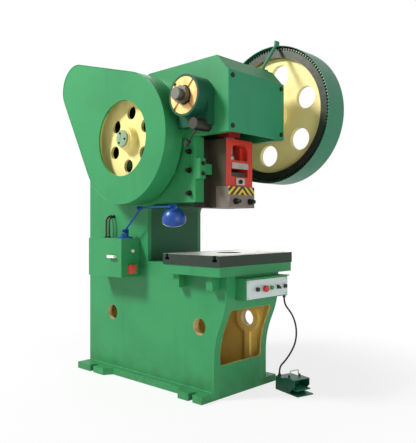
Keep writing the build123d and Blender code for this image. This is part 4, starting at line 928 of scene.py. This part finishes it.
NODE_COATS: dict[Coat, tuple[str, ...]] = {
    Coat.GREEN: ("top_plate", "guide_block", "gib_keepers", "control_box"),
    Coat.FRONT: ("front_cover",),
    Coat.THROAT_PAINTED_SHADE: ("throat_plate",),
    Coat.SIDES: ("side_plate_left", "side_plate_right", "rear_plate", "table_slab"),
    Coat.BASE: ("base_plate",),
    Coat.WALL: ("front_wall",),
    Coat.BOSS_PAINTED_SHADE: ("crank_bearings", "drive_bearings"),
    Coat.ROD: ("connecting_rod", "rod_cap"),
    Coat.GUARD: ("belt_guard",),
    Coat.BAND_PAINTED_SHADE: ("gear_guard",),
    Coat.CABINET: ("cabinet_box", "cabinet_door"),
    Coat.PEDAL: ("pedal_housing", "treadle"),
    Coat.MOTOR: ("motor",),
    Coat.WHEEL: ("flywheel",),
    Coat.GEAR: ("bull_gear",),
    Coat.SLIDE: ("slide",),
    Coat.CLAMP: ("clamp_block",),
    Coat.LAMP: ("lamp_foot", "lamp_lower_arm", "lamp_upper_arm"),
    Coat.SHADE: ("lamp_shade",),
    Coat.BOLSTER: ("bolster_plate",),
    Coat.STEEL: ("carry_handle", "ball_screw"),
    Coat.PLATES: ("slide_plates",),
    Coat.BOLT: ("frame_fasteners", "clamp_studs"),
    Coat.OILY: ("gibs", "knockout_bar", "trip_shaft", "conduits", "motor_pulley"),
    Coat.SHAFT: ("crankshaft", "pinion_shaft"),
    Coat.BRONZE: ("crank_bushes",),
    Coat.PANEL: ("control_panel",),
    Coat.RUBBER: ("drive_belts",),
    Coat.BLACK: ("start_button", "inch_button", "selector_knob"),
    Coat.RED: ("stop_button",),
    Coat.SALMON: ("switch_base", "switch_grip"),
    Coat.GO: ("motor_button",),
    Coat.WHITE: ("door_handle", "cabinet_knob"),
    Coat.GLASS: ("bulb",),
}


# Directions of the press: its front faces FORWARD, and LEFT is the left side for someone in front of it
LEFT: Triple = (-1.0, 0.0, 0.0)
RIGHT: Triple = (1.0, 0.0, 0.0)
FORWARD: Triple = (0.0, -1.0, 0.0)
BACKWARD: Triple = (0.0, 1.0, 0.0)
UP: Triple = (0.0, 0.0, 1.0)
DOWN: Triple = (0.0, 0.0, -1.0)


def arc(center: Pair, radius: float, span: Pair, steps: int) -> list[Pair]:
    """Follow an arc in equal steps.

    Args:
        center: its middle.
        radius: its radius.
        span: first and last angle in radians.
        steps: steps from the first point to the last.

    Returns:
        The points, both ends included.
    """
    places = []
    for step in range(steps + 1):
        angle = span[0] + (span[1] - span[0]) * step / steps
        places.append((center[0] + radius * math.cos(angle), center[1] + radius * math.sin(angle)))
    return places


class Spline(Enum):
    """How a line runs from point to point."""

    STRAIGHT = "POLY"
    FLOWING = "NURBS"


class Bench:
    """Modelling steps by Blender's own operators, with everything deselected before each piece."""

    turned_angle = math.radians(32)
    slab_angle = math.radians(40)
    ring_angle = math.radians(50)
    edge_segments = 3
    ring_resolution = 3
    end_normal = 0.99
    merge_parts = 100

    @staticmethod
    def clear() -> None:
        """Leave edit mode and deselect every object."""
        if bpy.context.object is not None and bpy.context.object.mode != "OBJECT":
            bpy.ops.object.mode_set(mode="OBJECT")
        for item in bpy.context.view_layer.objects:
            item.select_set(False)

    @classmethod
    def hold(cls, piece: Piece) -> None:
        """Select one piece alone and make it the active one.

        Args:
            piece: the piece.
        """
        cls.clear()
        piece.select_set(True)
        bpy.context.view_layer.objects.active = piece

    @classmethod
    def turned(cls, name: str, rings: Sequence[Pair], sides: int, scale: Pair = (1.0, 1.0)) -> Piece:
        """Model a turned shape about Z from a disc that is extruded and resized ring by ring.

        Args:
            name: piece name.
            rings: radius and height of each ring, from the first face to the last.
            sides: corners round the shape.
            scale: what the radii and the heights are shares of, in metres.

        Returns:
            The closed piece, still at the origin.
        """
        cls.clear()
        (radius, height), *others = [(ring * scale[0], rise * scale[1]) for ring, rise in rings]
        bpy.ops.mesh.primitive_circle_add(vertices=sides, radius=radius, fill_type="NGON", location=(0, 0, 0))
        piece = bpy.context.object
        piece.name = name
        bpy.ops.object.mode_set(mode="EDIT")
        bpy.ops.mesh.select_all(action="SELECT")
        bpy.ops.transform.translate(value=(0, 0, height))
        for next_radius, next_height in others:
            bpy.ops.mesh.extrude_region_move(TRANSFORM_OT_translate={"value": (0, 0, next_height - height)})
            grow = next_radius / radius
            bpy.ops.transform.resize(value=(grow, grow, 1), center_override=(0, 0, next_height))
            radius, height = next_radius, next_height
        bpy.ops.mesh.select_all(action="SELECT")
        bpy.ops.mesh.normals_make_consistent(inside=False)
        bpy.ops.object.mode_set(mode="OBJECT")
        bpy.ops.object.shade_smooth_by_angle(angle=cls.turned_angle)
        return piece

    @classmethod
    def row(cls, piece: Piece, count: int, step: float) -> None:
        """Open a turned piece's two ends, repeat it along Z, merge the copies and close the far ends.

        Args:
            piece: a piece from turned().
            count: copies in the row.
            step: distance from one copy to the next.
        """
        cls.hold(piece)
        bpy.context.tool_settings.mesh_select_mode = (False, False, True)
        bpy.ops.object.mode_set(mode="EDIT")
        bpy.ops.mesh.select_all(action="DESELECT")
        bpy.ops.object.mode_set(mode="OBJECT")
        for face in piece.data.polygons:
            face.select = abs(face.normal.z) > cls.end_normal
        bpy.ops.object.mode_set(mode="EDIT")
        bpy.ops.mesh.delete(type="ONLY_FACE")
        bpy.ops.object.mode_set(mode="OBJECT")
        array = piece.modifiers.new("row", "ARRAY")
        array.count = count
        array.use_relative_offset = False
        array.use_constant_offset = True
        array.constant_offset_displace = (0.0, 0.0, step)
        array.use_merge_vertices = True
        array.merge_threshold = step / cls.merge_parts
        bpy.ops.object.modifier_apply(modifier=array.name)
        bpy.ops.object.mode_set(mode="EDIT")
        bpy.ops.mesh.select_all(action="SELECT")
        bpy.ops.mesh.fill_holes(sides=0)
        bpy.ops.mesh.select_all(action="SELECT")
        bpy.ops.mesh.normals_make_consistent(inside=False)
        bpy.ops.object.mode_set(mode="OBJECT")

    @classmethod
    def slab(cls, name: str, size: Triple, edge: float) -> Piece:
        """Model a plate or block with rounded edges.

        Args:
            name: piece name.
            size: lengths along X, Y and Z, with its bottom at zero height.
            edge: width of the rounded edges.

        Returns:
            The piece, still at the origin.
        """
        cls.clear()
        bpy.ops.mesh.primitive_cube_add(size=1, location=(0, 0, 0))
        piece = bpy.context.object
        piece.name = name
        bpy.ops.object.mode_set(mode="EDIT")
        bpy.ops.mesh.select_all(action="SELECT")
        bpy.ops.transform.resize(value=size)
        bpy.ops.transform.translate(value=(0, 0, size[2] / 2))
        bpy.ops.mesh.bevel(offset=edge, segments=cls.edge_segments, affect="EDGES")
        bpy.ops.object.mode_set(mode="OBJECT")
        bpy.ops.object.shade_smooth_by_angle(angle=cls.slab_angle)
        return piece

    @classmethod
    def set_at(cls, piece: Piece, at: Sequence[float], way: Triple = UP, turn: float = 0.0) -> Piece:
        """Place a piece modelled at the origin and apply the move to its mesh.

        Args:
            piece: the piece.
            at: where its own origin goes, in metres.
            way: where its own Z axis points.
            turn: degrees about that axis.

        Returns:
            The same piece.
        """
        cls.hold(piece)
        aim = Vector(way).to_track_quat("Z", "Y").to_matrix().to_4x4()
        spin = Matrix.Rotation(math.radians(turn), 4, "Z")
        piece.matrix_world = Matrix.Translation(Vector(at)) @ aim @ spin
        bpy.ops.object.transform_apply(location=True, rotation=True, scale=True)
        return piece

    @staticmethod
    def copies(model: Piece, names: Iterable[str]) -> list[Piece]:
        """Copy one modelled piece, each copy with its own mesh.

        Args:
            model: the piece to copy, which is the first of the result.
            names: names of all of them.

        Returns:
            The pieces.
        """
        made = []
        for index, name in enumerate(names):
            piece = model
            if index:
                piece = model.copy()
                piece.data = model.data.copy()
                bpy.context.collection.objects.link(piece)
            piece.name = name
            made.append(piece)
        return made

    @classmethod
    def join(cls, pieces: Sequence[Piece], name: str) -> Piece:
        """Join placed pieces into one.

        Args:
            pieces: the pieces, of which the first takes in the others.
            name: name of the joined piece.

        Returns:
            The joined piece.
        """
        cls.hold(pieces[0])
        for piece in pieces:
            piece.select_set(True)
        bpy.ops.object.join()
        pieces[0].name = name
        return pieces[0]

    @classmethod
    def repeat(cls, model: Piece, spots: Sequence[Sequence[float]], way: Triple = UP,
               turn: float = 0.0) -> Piece:
        """Set a copy of one modelled piece at each spot and join them under its name.

        Args:
            model: the piece, still at the origin.
            spots: place of each copy, in metres.
            way: where their own Z axes point.
            turn: degrees about those axes.

        Returns:
            The joined piece.
        """
        name = model.name
        pieces = cls.copies(model, [f"{name}_{number}" for number in range(len(spots))])
        for piece, spot in zip(pieces, spots):
            cls.set_at(piece, spot, way, turn)
        return cls.join(pieces, name)

    @staticmethod
    def line(name: str, points: Sequence[Sequence[float]], radius: float, spline: Spline) -> Piece:
        """Lay a round line along points.

        Args:
            name: piece name.
            points: places in metres.
            radius: half the line's thickness.
            spline: how it runs from point to point.

        Returns:
            The piece, still a curve.
        """
        curve = bpy.data.curves.new(name, "CURVE")
        curve.dimensions = "3D"
        curve.bevel_depth = radius
        run = curve.splines.new(spline.value)
        run.points.add(len(points) - 1)
        for point, place in zip(run.points, points):
            point.co = (*place, 1.0)
        piece = bpy.data.objects.new(name, curve)
        bpy.context.collection.objects.link(piece)
        return piece

    @classmethod
    def ring(cls, name: str, points: Sequence[Sequence[float]], radius: float) -> Piece:
        """Model a closed round bar through points and turn it into a mesh.

        Args:
            name: piece name.
            points: places in metres.
            radius: half the bar's thickness.

        Returns:
            The piece.
        """
        piece = cls.line(name, points, radius, Spline.STRAIGHT)
        piece.data.bevel_resolution = cls.ring_resolution
        piece.data.splines[0].use_cyclic_u = True
        cls.hold(piece)
        bpy.ops.object.convert(target="MESH")
        bpy.ops.object.shade_smooth_by_angle(angle=cls.ring_angle)
        return piece


class Assembly:
    """Base of every sub-assembly: it dresses, rides and reports its pieces."""

    body = "frame"

    def finish(self, piece: Piece, coat: Coat, slot: str, body: str | None = None) -> Piece:
        """Give a new piece its finish and body.

        Args:
            piece: the piece.
            coat: finish.
            slot: not used.
            body: body that it rides on, or None for the assembly's own.

        Returns:
            The same piece.
        """
        coat.lay(piece)
        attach(piece, body or self.body)
        LOG.info("piece %s on %s", piece.name, body or self.body)
        return piece

    def build(self) -> None:
        """Model and dress the pieces."""
        raise NotImplementedError


@dataclass
class Solids(Assembly):
    """The solids carried over, each with its own finish."""

    coats: dict[Coat, tuple[str, ...]] = field(default_factory=lambda: NODE_COATS)

    def build(self) -> None:
        """Put a finish on every node."""
        for coat, nodes in self.coats.items():
            for node in nodes:
                coat.lay(bpy.data.objects[node])
                LOG.info("finish %s on %s", coat.value.name, node)


@dataclass
class PedalLead(Assembly):
    """The black lead from the control box to the foot pedal, with a tapered gland at each end."""

    route: tuple[Triple, ...] = (
        (0.231, -0.267, 0.588), (0.231, -0.267, 0.548), (0.26189, -0.30086, 0.4912),
        (0.27964, -0.32022, 0.42828), (0.28544, -0.32595, 0.36052), (0.27945, -0.31828, 0.29276),
        (0.25998, -0.29534, 0.22984), (0.23524, -0.26655, 0.1766), (0.21483, -0.24242, 0.144),
        (0.21483, -0.24242, 0.104),
    )
    diameter: float = 0.011
    length: float = 0.53
    bevel_resolution: int = 6
    resolution: int = 16
    order: int = 3
    gland: float = 0.018
    gland_rings: Pairs = ((0.011, 0.0), (0.011, 0.006), (0.0096, 0.0066), (0.0096, 0.008), (0.0102, 0.0086),
                           (0.0102, 0.0118), (0.0078, 0.0146))
    gland_mouth: float = 0.0064
    gland_sides: int = 20

    def lead(self) -> Piece:
        """Lay the lead along one smooth spline.

        Returns:
            The lead.
        """
        piece = Bench.line("foot_lead", self.route, self.diameter / 2, Spline.FLOWING)
        piece.data.bevel_resolution = self.bevel_resolution
        piece.data.resolution_u = self.resolution
        run = piece.data.splines[0]
        run.order_u = self.order
        run.use_endpoint_u = True
        return piece

    def glands(self) -> list[Piece]:
        """Turn one gland nut with a tapered sleeve and set a copy at each end.

        Returns:
            The gland on the control box and the one on the pedal.
        """
        rings = [*self.gland_rings, (self.gland_mouth, self.gland)]
        model = Bench.turned("box_gland_nut", rings, self.gland_sides)
        top, foot = Bench.copies(model, ("box_gland_nut", "pedal_gland_nut"))
        start, end = Vector(self.route[0]), Vector(self.route[-1])
        Bench.set_at(top, start + Vector((0, 0, self.gland)), DOWN)
        Bench.set_at(foot, end - Vector((0, 0, self.gland)))
        return [self.finish(piece, Coat.BLACK, "black_plastic") for piece in (top, foot)]

    def build(self) -> None:
        """Lay the lead and its glands in place of their solids."""
        piece = self.finish(self.lead(), Coat.RUBBER, "belt_rubber")
        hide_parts("pedal_lead")
        nuts = self.glands()
        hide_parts("cord_glands")


@dataclass
class Welds(Assembly):
    """Rippled weld beads where the side plates meet the base plate and the table slab."""

    pitch: float = 0.009
    bead: float = 0.0055
    ripple: Pairs = ((0.78, 0.0), (1.0, 0.35), (0.93, 0.7), (0.78, 1.0))
    ripple_sides: int = 10
    side: float = 0.254
    base_run: Pair = (-0.085, 1.155)
    slab_run: Pair = (-0.2, 0.2)
    slab_bottom: float = 0.752

    def line(self, name: str, run: Pair, height: float) -> None:
        """Lay one bead along Y on each side.

        Args:
            name: piece name before its side.
            run: where it starts and ends along Y.
            height: its height.
        """
        model = Bench.turned(f"{name}_left", self.ripple, self.ripple_sides, (self.bead, self.pitch))
        Bench.row(model, round((run[1] - run[0]) / self.pitch), self.pitch)
        for piece, side in zip(Bench.copies(model, (f"{name}_left", f"{name}_right")), (-1, 1)):
            Bench.set_at(piece, (side * self.side, run[0], height), BACKWARD)
            self.finish(piece, Coat.GREEN, "machine_green")

    def build(self) -> None:
        """Lay the beads along the base plate and under the slab."""
        self.line("base_weld", self.base_run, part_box("base_plate")[1][2])
        self.line("slab_weld", self.slab_run, self.slab_bottom)


@dataclass
class GuardEdge(Assembly):
    """The rolled edge round the belt guard's face."""

    wheel_radius: float = 0.436
    motor_radius: float = 0.175
    bead: float = 0.0028
    steps: int = 48

    def outline(self) -> list[Triple]:
        """Follow the two arcs of the guard's outline, a bead's radius inside it.

        Returns:
            Points on the guard's face.
        """
        reach = Vector(MOTOR_AXIS) - Vector(DRIVE_AXIS)
        lean = math.atan2(reach.y, reach.x)
        spread = math.acos((self.wheel_radius - self.motor_radius) / reach.length)
        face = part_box("belt_guard")[0][0]
        arcs = ((DRIVE_AXIS, self.wheel_radius, (lean + spread, lean - spread + math.tau)),
                (MOTOR_AXIS, self.motor_radius, (lean - spread, lean + spread)))
        places = []
        for center, radius, span in arcs:
            places += [(face, *place) for place in arc(center, radius - self.bead, span, self.steps)]
        return places

    def build(self) -> None:
        """Lay the rolled edge."""
        piece = Bench.ring("guard_rolled_edge", self.outline(), self.bead)
        self.finish(piece, Coat.GUARD, "machine_green")


@dataclass
class HubCover(Assembly):
    """The grey-green cover on the flywheel's hub, with three screws and a sunk middle."""

    body = "flywheel"
    radius: float = 0.056
    thick: float = 0.007
    rings: Pairs = ((1.0, 0.0), (1.0, 0.6), (0.94, 1.0), (0.34, 1.0), (0.3, 0.5))
    sides: int = 48
    screws: int = 3
    screw_circle: float = 0.036
    screw_start: float = 70.0
    screw: Pair = (0.0075, 0.005)
    screw_rings: Pairs = ((1.0, 0.0), (1.0, 0.8), (0.82, 1.0), (0.5, 1.0), (0.5, 0.4))
    screw_sides: int = 20

    def build(self) -> None:
        """Turn the cover and its screws."""
        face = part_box("flywheel")[0][0]
        cover = Bench.turned("hub_cover", self.rings, self.sides, (self.radius, self.thick))
        Bench.set_at(cover, (face, *DRIVE_AXIS), LEFT)
        self.finish(cover, Coat.CAP, "motor_grey")
        model = Bench.turned("hub_screws", self.screw_rings, self.screw_sides, self.screw)
        start = math.radians(self.screw_start)
        circle = arc(DRIVE_AXIS, self.screw_circle, (start, start + math.tau), self.screws)[:-1]
        heads = Bench.repeat(model, [(face - self.thick, *place) for place in circle], LEFT)
        self.finish(heads, Coat.BOLT, "dark_steel")


@dataclass
class LampTrim(Assembly):
    """The shade's whole outer shell with its rim, and the clamping knobs of the lamp's three joints."""

    rim_depth: float = 0.101
    rim_radius: float = 0.0752
    rim_bead: float = 0.0016
    rim_steps: int = 56
    shell_radius: float = 0.0792
    shell_span: Pair = (-72.5, 6.1)
    shell_lifts: Pair = (0.0009, 0.0003)
    shell_steps: int = 12
    shell_sides: int = 64
    pivots: tuple[tuple[str, Triple], ...] = (
        ("lamp_lower", (-0.34, 0.65, 1.013)), ("lamp_upper", (-0.356, 0.479, 1.165)),
        ("lamp_head", (-0.356, 0.169, 1.166)))
    knob_rings: Pairs = ((0.004, 0.0), (0.004, 0.003), (0.0092, 0.004), (0.0092, 0.011), (0.0078, 0.013),
                          (0.003, 0.0138))
    knob_sides: int = 12

    def shell(self) -> None:
        """Turn the thin shell that closes round the whole shade, outside first and then back inside."""
        start, end = (math.radians(angle) for angle in self.shell_span)
        outside, inside = (arc(SHADE_ARC, self.shell_radius + lift, (start, end), self.shell_steps)
                           for lift in self.shell_lifts)
        piece = Bench.turned("shade_shell", [*outside, *reversed(inside)], self.shell_sides)
        self.finish(Bench.set_at(piece, SHADE_TOP, SHADE_AIM), Coat.SHELL, "lamp_blue", "lamp_head")

    def rim(self) -> None:
        """Lay the rolled rim round the shade's mouth."""
        turn = Vector(SHADE_AIM).to_track_quat("Z", "Y")
        circle = arc((0.0, 0.0), self.rim_radius, (0.0, math.tau), self.rim_steps)[:-1]
        places = [Vector(SHADE_TOP) + turn @ Vector((*place, self.rim_depth)) for place in circle]
        rim = Bench.ring("shade_rim", places, self.rim_bead)
        self.finish(rim, Coat.STEEL, "machined_steel", "lamp_head")

    def build(self) -> None:
        """Turn the shell, lay the rim and set one knob at each joint."""
        self.shell()
        self.rim()
        model = Bench.turned("lamp_joint_knob", self.knob_rings, self.knob_sides)
        names = [f"{body}_knob" for body, place in self.pivots]
        for piece, (body, place) in zip(Bench.copies(model, names), self.pivots):
            Bench.set_at(piece, place, LEFT)
            self.finish(piece, Coat.LAMP, "lamp_blue", body)


@dataclass
class PedalTread(Assembly):
    """The ribbed tread on the treadle."""

    body = "treadle"
    pedal: Pair = (0.235, -0.341)
    turn: float = -15.0
    size: Triple = (0.098, 0.072, 0.0022)
    edge: float = 0.0009
    middle: float = -0.048
    ribs: int = 8
    rib: Triple = (0.09212, 0.0036, 0.0018)
    rib_edge: float = 0.0007
    rib_spread: float = 0.92
    rib_sink: float = 0.9

    def place(self, along: float, rise: float = 0.0) -> Triple:
        """Turn a distance along the pedal into a place over it.

        Args:
            along: distance behind the pedal's own middle.
            rise: height over the treadle's top.

        Returns:
            The place in metres.
        """
        lean = math.radians(self.turn)
        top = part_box("treadle")[1][2]
        return self.pedal[0] - along * math.sin(lean), self.pedal[1] + along * math.cos(lean), top + rise

    def build(self) -> None:
        """Lay the tread's plate and its ribs."""
        tread = Bench.slab("treadle_tread", self.size, self.edge)
        Bench.set_at(tread, self.place(self.middle), turn=self.turn)
        model = Bench.slab("tread_ribs", self.rib, self.rib_edge)
        reach, rise = self.rib_spread * self.size[1], self.rib_sink * self.size[2]
        shares = [(number + 0.5) / self.ribs - 0.5 for number in range(self.ribs)]
        spots = [self.place(self.middle + share * reach, rise) for share in shares]
        ribs = Bench.repeat(model, spots, turn=self.turn)
        self.finish(Bench.join([tread, ribs], "treadle_tread"), Coat.PEDAL, "pedal_green")


@dataclass
class SmallFixings(Assembly):
    """Panel screws and the lock nuts of the two conduits."""

    panel_face: float = -0.286
    panel_inset: float = 0.0095
    screw: Pair = (0.0042, 0.0042)
    screw_rings: Pairs = ((1.0, 0.0), (1.0, 0.5), (0.8, 0.62), (0.5, 0.62), (0.45, 0.2))
    screw_sides: int = 20
    nut: Pair = (0.0128, 0.0128)
    nut_rings: Pairs = ((1.0, 0.0), (1.0, 0.6), (0.86, 0.72))
    nut_sides: int = 6
    conduit_x: float = -0.298
    conduit_rows: Pair = (0.903, 0.869)
    conduit_rise: float = 0.15
    plate: float = -0.254

    def panel_screws(self) -> None:
        """Set a socket screw in each corner of the control panel."""
        low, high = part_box("control_panel")
        sides = (high[0] - self.panel_inset, low[0] + self.panel_inset)
        rises = (low[2] + self.panel_inset, high[2] - self.panel_inset)
        model = Bench.turned("panel_screws", self.screw_rings, self.screw_sides, self.screw)
        spots = [(side, self.panel_face, rise) for rise in rises for side in sides]
        self.finish(Bench.repeat(model, spots, FORWARD), Coat.STEEL, "machined_steel")

    def conduit_nuts(self) -> None:
        """Set a hexagonal lock nut at both ends of each conduit."""
        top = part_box("cabinet_box")[1][2]
        model = Bench.turned("conduit_nuts", self.nut_rings, self.nut_sides, self.nut)
        on_box, on_plate = Bench.copies(model, ("conduit_nuts", "plate_nuts"))
        on_box = Bench.repeat(on_box, [(self.conduit_x, row, top) for row in self.conduit_rows])
        spots = [(self.plate, row, top + self.conduit_rise) for row in self.conduit_rows]
        on_plate = Bench.repeat(on_plate, spots, LEFT)
        self.finish(Bench.join([on_box, on_plate], "conduit_nuts"), Coat.BOLT, "dark_steel")

    def build(self) -> None:
        """Set screws and nuts."""
        self.panel_screws()
        self.conduit_nuts()


@dataclass
class MotorTrim(Assembly):
    """The motor's terminal box with its lid and screws, and the ringed grille of its fan cover."""

    box_x: float = -0.11
    box_size: Triple = (0.1, 0.096, 0.046)
    box_edge: float = 0.006
    lid_size: Triple = (0.106, 0.102, 0.008)
    lid_edge: float = 0.003
    lid_sink: float = 0.002
    saddle: float = 0.012
    screw_inset: float = 0.011
    screw_rings: Pairs = ((0.005, 0.0), (0.005, 0.003), (0.004, 0.004), (0.0022, 0.004), (0.002, 0.002))
    screw_sides: int = 16
    grille: float = 0.08
    grille_rings: int = 5
    grille_foot: float = 0.0005
    grille_sides: int = 40
    bar: float = 0.0032
    bar_share: float = 0.62

    def terminal_box(self) -> None:
        """Set the box on the fins, its lid on it and a screw in each corner of the lid."""
        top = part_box("motor")[1][2] - self.saddle
        base = Bench.slab("terminal_box", self.box_size, self.box_edge)
        Bench.set_at(base, (self.box_x, MOTOR_AXIS[0], top))
        lid = Bench.slab("terminal_lid", self.lid_size, self.lid_edge)
        lid_bottom = top + self.box_size[2] - self.lid_sink
        Bench.set_at(lid, (self.box_x, MOTOR_AXIS[0], lid_bottom))
        self.finish(Bench.join([base, lid], "terminal_box"), Coat.MOTOR, "motor_grey")
        model = Bench.turned("lid_screws", self.screw_rings, self.screw_sides)
        across, along = (0.5 * length - self.screw_inset for length in self.lid_size[:2])
        spots = [(self.box_x + side * across, MOTOR_AXIS[0] + back * along, lid_bottom + self.lid_size[2])
                 for back in (1, -1) for side in (-1, 1)]
        self.finish(Bench.repeat(model, spots), Coat.BOLT, "dark_steel")

    def fan_grille(self) -> None:
        """Turn the grille's raised rings in one piece."""
        rings: list[Pair] = []
        for number in range(self.grille_rings):
            outer = self.grille * (1 - number / self.grille_rings)
            inner = outer - self.bar_share * self.grille / self.grille_rings
            foot, top = self.grille_foot, self.bar
            rings += [(outer, foot), (outer, top), (inner, top), (inner, foot)]
        piece = Bench.turned("fan_grille", rings, self.grille_sides)
        Bench.set_at(piece, (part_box("motor")[1][0], *MOTOR_AXIS), RIGHT)
        self.finish(piece, Coat.MOTOR, "motor_grey")

    def build(self) -> None:
        """Add the terminal box and the grille."""
        self.terminal_box()
        self.fan_grille()


@dataclass
class CabinetGear(Assembly):
    """What the cabinet holds: a plate with two contactors, a small transformer and a row of terminals."""

    back: float = -0.257
    middle: Pair = (0.7775, 0.8325)
    plate: Triple = (0.31, 0.215, 0.0025)
    contactor: Triple = (0.048, 0.08, 0.042)
    contactor_head: Triple = (0.042, 0.048, 0.026)
    contactor_places: Pair = (0.012, 0.076)
    head_sink: float = 0.96
    screw: Pair = (0.00384, 0.00384)
    screw_rings: Pairs = ((1.0, 0.0), (1.0, 0.5), (0.7, 0.7), (0.3, 0.5))
    screw_sides: int = 14
    screw_columns: Triple = (-0.3, 0.0, 0.3)
    screw_rows: Pair = (0.4, -0.4)
    core: Triple = (0.07, 0.062, 0.034)
    coil: Triple = (0.044, 0.076, 0.046)
    transformer_place: float = -0.088
    row_rise: float = 0.034
    terminal: Triple = (0.0135, 0.03, 0.024)
    terminals: int = 16
    terminal_pitch: float = 0.0155
    row_drop: float = -0.07
    round_edge: float = 0.002
    edge_share: float = 0.3

    def spot(self, along: float, rise: float, depth: float) -> Triple:
        """Turn distances from the plate's middle, and from the cabinet's wall, into a place in metres."""
        return self.back - depth, self.middle[0] + along, self.middle[1] + rise

    def block(self, name: str, size: Triple, along: float, rise: float, depth: float) -> Piece:
        """Set one block with rounded edges on the plate.

        Args:
            name: piece name.
            size: length along the cabinet, height and depth.
            along: distance behind the plate's middle.
            rise: height over the plate's middle.
            depth: distance of its back from the cabinet's wall.

        Returns:
            The block.
        """
        piece = Bench.slab(name, size, min(self.round_edge, self.edge_share * size[2]))
        return Bench.set_at(piece, self.spot(along, rise, depth), LEFT)

    def contactors(self) -> None:
        """Set the two contactors, each with six screw heads in two rows."""
        bottom = self.plate[2]
        length, height, depth = self.contactor
        blocks = []
        for number, along in enumerate(self.contactor_places):
            for part, size, lift in (("base", self.contactor, bottom),
                                     ("head", self.contactor_head, bottom + self.head_sink * depth)):
                blocks.append(self.block(f"contactor_{part}_{number}", size, along, self.row_rise, lift))
        self.finish(Bench.join(blocks, "contactors"), Coat.BLACK, "black_plastic")
        model = Bench.turned("contactor_screws", self.screw_rings, self.screw_sides, self.screw)
        spots = [self.spot(along + column * length, self.row_rise + row * height, bottom + depth)
                 for along in self.contactor_places
                 for row in self.screw_rows
                 for column in self.screw_columns]
        self.finish(Bench.repeat(model, spots, LEFT), Coat.STEEL, "machined_steel")

    def transformer(self) -> None:
        """Set the transformer's laminated core with its coil through it."""
        where = (self.transformer_place, self.row_rise, self.plate[2])
        self.finish(self.block("transformer_core", self.core, *where), Coat.OILY, "dark_steel")
        self.finish(self.block("transformer_coil", self.coil, *where), Coat.WHITE, "white_plastic")

    def terminal_row(self) -> None:
        """Set the row of terminals under them."""
        model = Bench.slab("terminal_row", self.terminal, self.round_edge)
        middle = (self.terminals - 1) / 2
        spots = [self.spot((number - middle) * self.terminal_pitch, self.row_drop, self.plate[2])
                 for number in range(self.terminals)]
        self.finish(Bench.repeat(model, spots, LEFT), Coat.WHITE, "white_plastic")

    def build(self) -> None:
        """Set the plate and what it carries."""
        self.finish(self.block("mounting_plate", self.plate, 0.0, 0.0, 0.0), Coat.STEEL, "machined_steel")
        self.contactors()
        self.transformer()
        self.terminal_row()


@dataclass(frozen=True)
class SoftLamp:
    """A square soft lamp: its place, the point that it faces, its side in metres and its watts."""

    name: str
    at: Triple
    aim: Triple
    size: float
    power: float

    def hang(self) -> None:
        """Hang the lamp."""
        data = bpy.data.lights.new(self.name, "AREA")
        data.shape = "SQUARE"
        data.size = self.size
        data.energy = self.power
        item = bpy.data.objects.new(self.name, data)
        bpy.context.collection.objects.link(item)
        item.location = self.at
        item.rotation_euler = (Vector(self.aim) - Vector(self.at)).to_track_quat("-Z", "Y").to_euler()


@dataclass
class Studio:
    """Floor, soft light and the camera of the photograph."""

    eye: Triple = (-2.714, -2.372, 1.053)
    way: Triple = (0.728, 0.686, 0.0)
    focal_pixels: float = 560.0
    image: tuple[int, int] = (416, 443)
    horizon: float = 225.0
    sensor: float = 36.0
    view_end: float = 200.0
    floor_size: float = 40.0
    surroundings: float = 0.15
    lamps: tuple[SoftLamp, ...] = (
        SoftLamp("window_light", (-6.4, 4.4, 7.2), (0.0, 0.3, 1.0), 2.0, 1060.0),
        SoftLamp("front_light", (-1.4, -4.6, 1.5), (0.0, 0.0, 0.9), 2.6, 80.0),
        SoftLamp("back_light", (3.4, 3.4, 3.4), (0.0, 0.4, 1.2), 3.0, 40.0),
    )

    def camera(self) -> None:
        """Set the camera at the photograph's place."""
        data = bpy.data.cameras.new("photo_camera")
        tall = max(self.image)
        data.sensor_width = self.sensor
        data.lens = self.focal_pixels * self.sensor / tall
        data.shift_y = (self.horizon - self.image[1] / 2) / tall
        data.clip_end = self.view_end
        item = bpy.data.objects.new("photo_camera", data)
        bpy.context.collection.objects.link(item)
        item.location = self.eye
        item.rotation_euler = Vector(self.way).to_track_quat("-Z", "Y").to_euler()
        bpy.context.scene.camera = item

    def world(self) -> None:
        """Light the surroundings softly, and show them white to camera, mirrors and glass."""
        world = bpy.data.worlds.new("studio")
        bpy.context.scene.world = world
        world.use_nodes = True
        book = Book(world.node_tree)
        soft, white = (book.add("ShaderNodeBackground", {}, {"Color": WHITE_LIGHT, "Strength": strength})
                       for strength in (self.surroundings, 1.0))
        choice = book.add("ShaderNodeMixShader", {}, {0: book.seen(), 1: soft, 2: white})
        book.node("ShaderNodeOutputWorld", {}, {"Surface": choice})

    def build(self) -> None:
        """Set camera, floor, lamps and surroundings."""
        bpy.context.scene.view_settings.view_transform = "Standard"
        self.camera()
        Bench.clear()
        bpy.ops.mesh.primitive_plane_add(size=self.floor_size, location=(0, 0, 0))
        floor = bpy.context.object
        floor.name = "floor"
        Coat.FLOOR.lay(floor)
        for lamp in self.lamps:
            lamp.hang()
        self.world()


def main() -> None:
    """Build the studio, finish the solids, then add the pieces of each sub-assembly."""
    logging.basicConfig(level=logging.INFO, format="%(name)s: %(message)s")
    Studio().build()
    for assembly in (Solids(), PedalLead(), Welds(), GuardEdge(), HubCover(), LampTrim(), PedalTread(),
                     SmallFixings(), MotorTrim(), CabinetGear()):
        assembly.build()


if __name__ == "__main__":
    main()
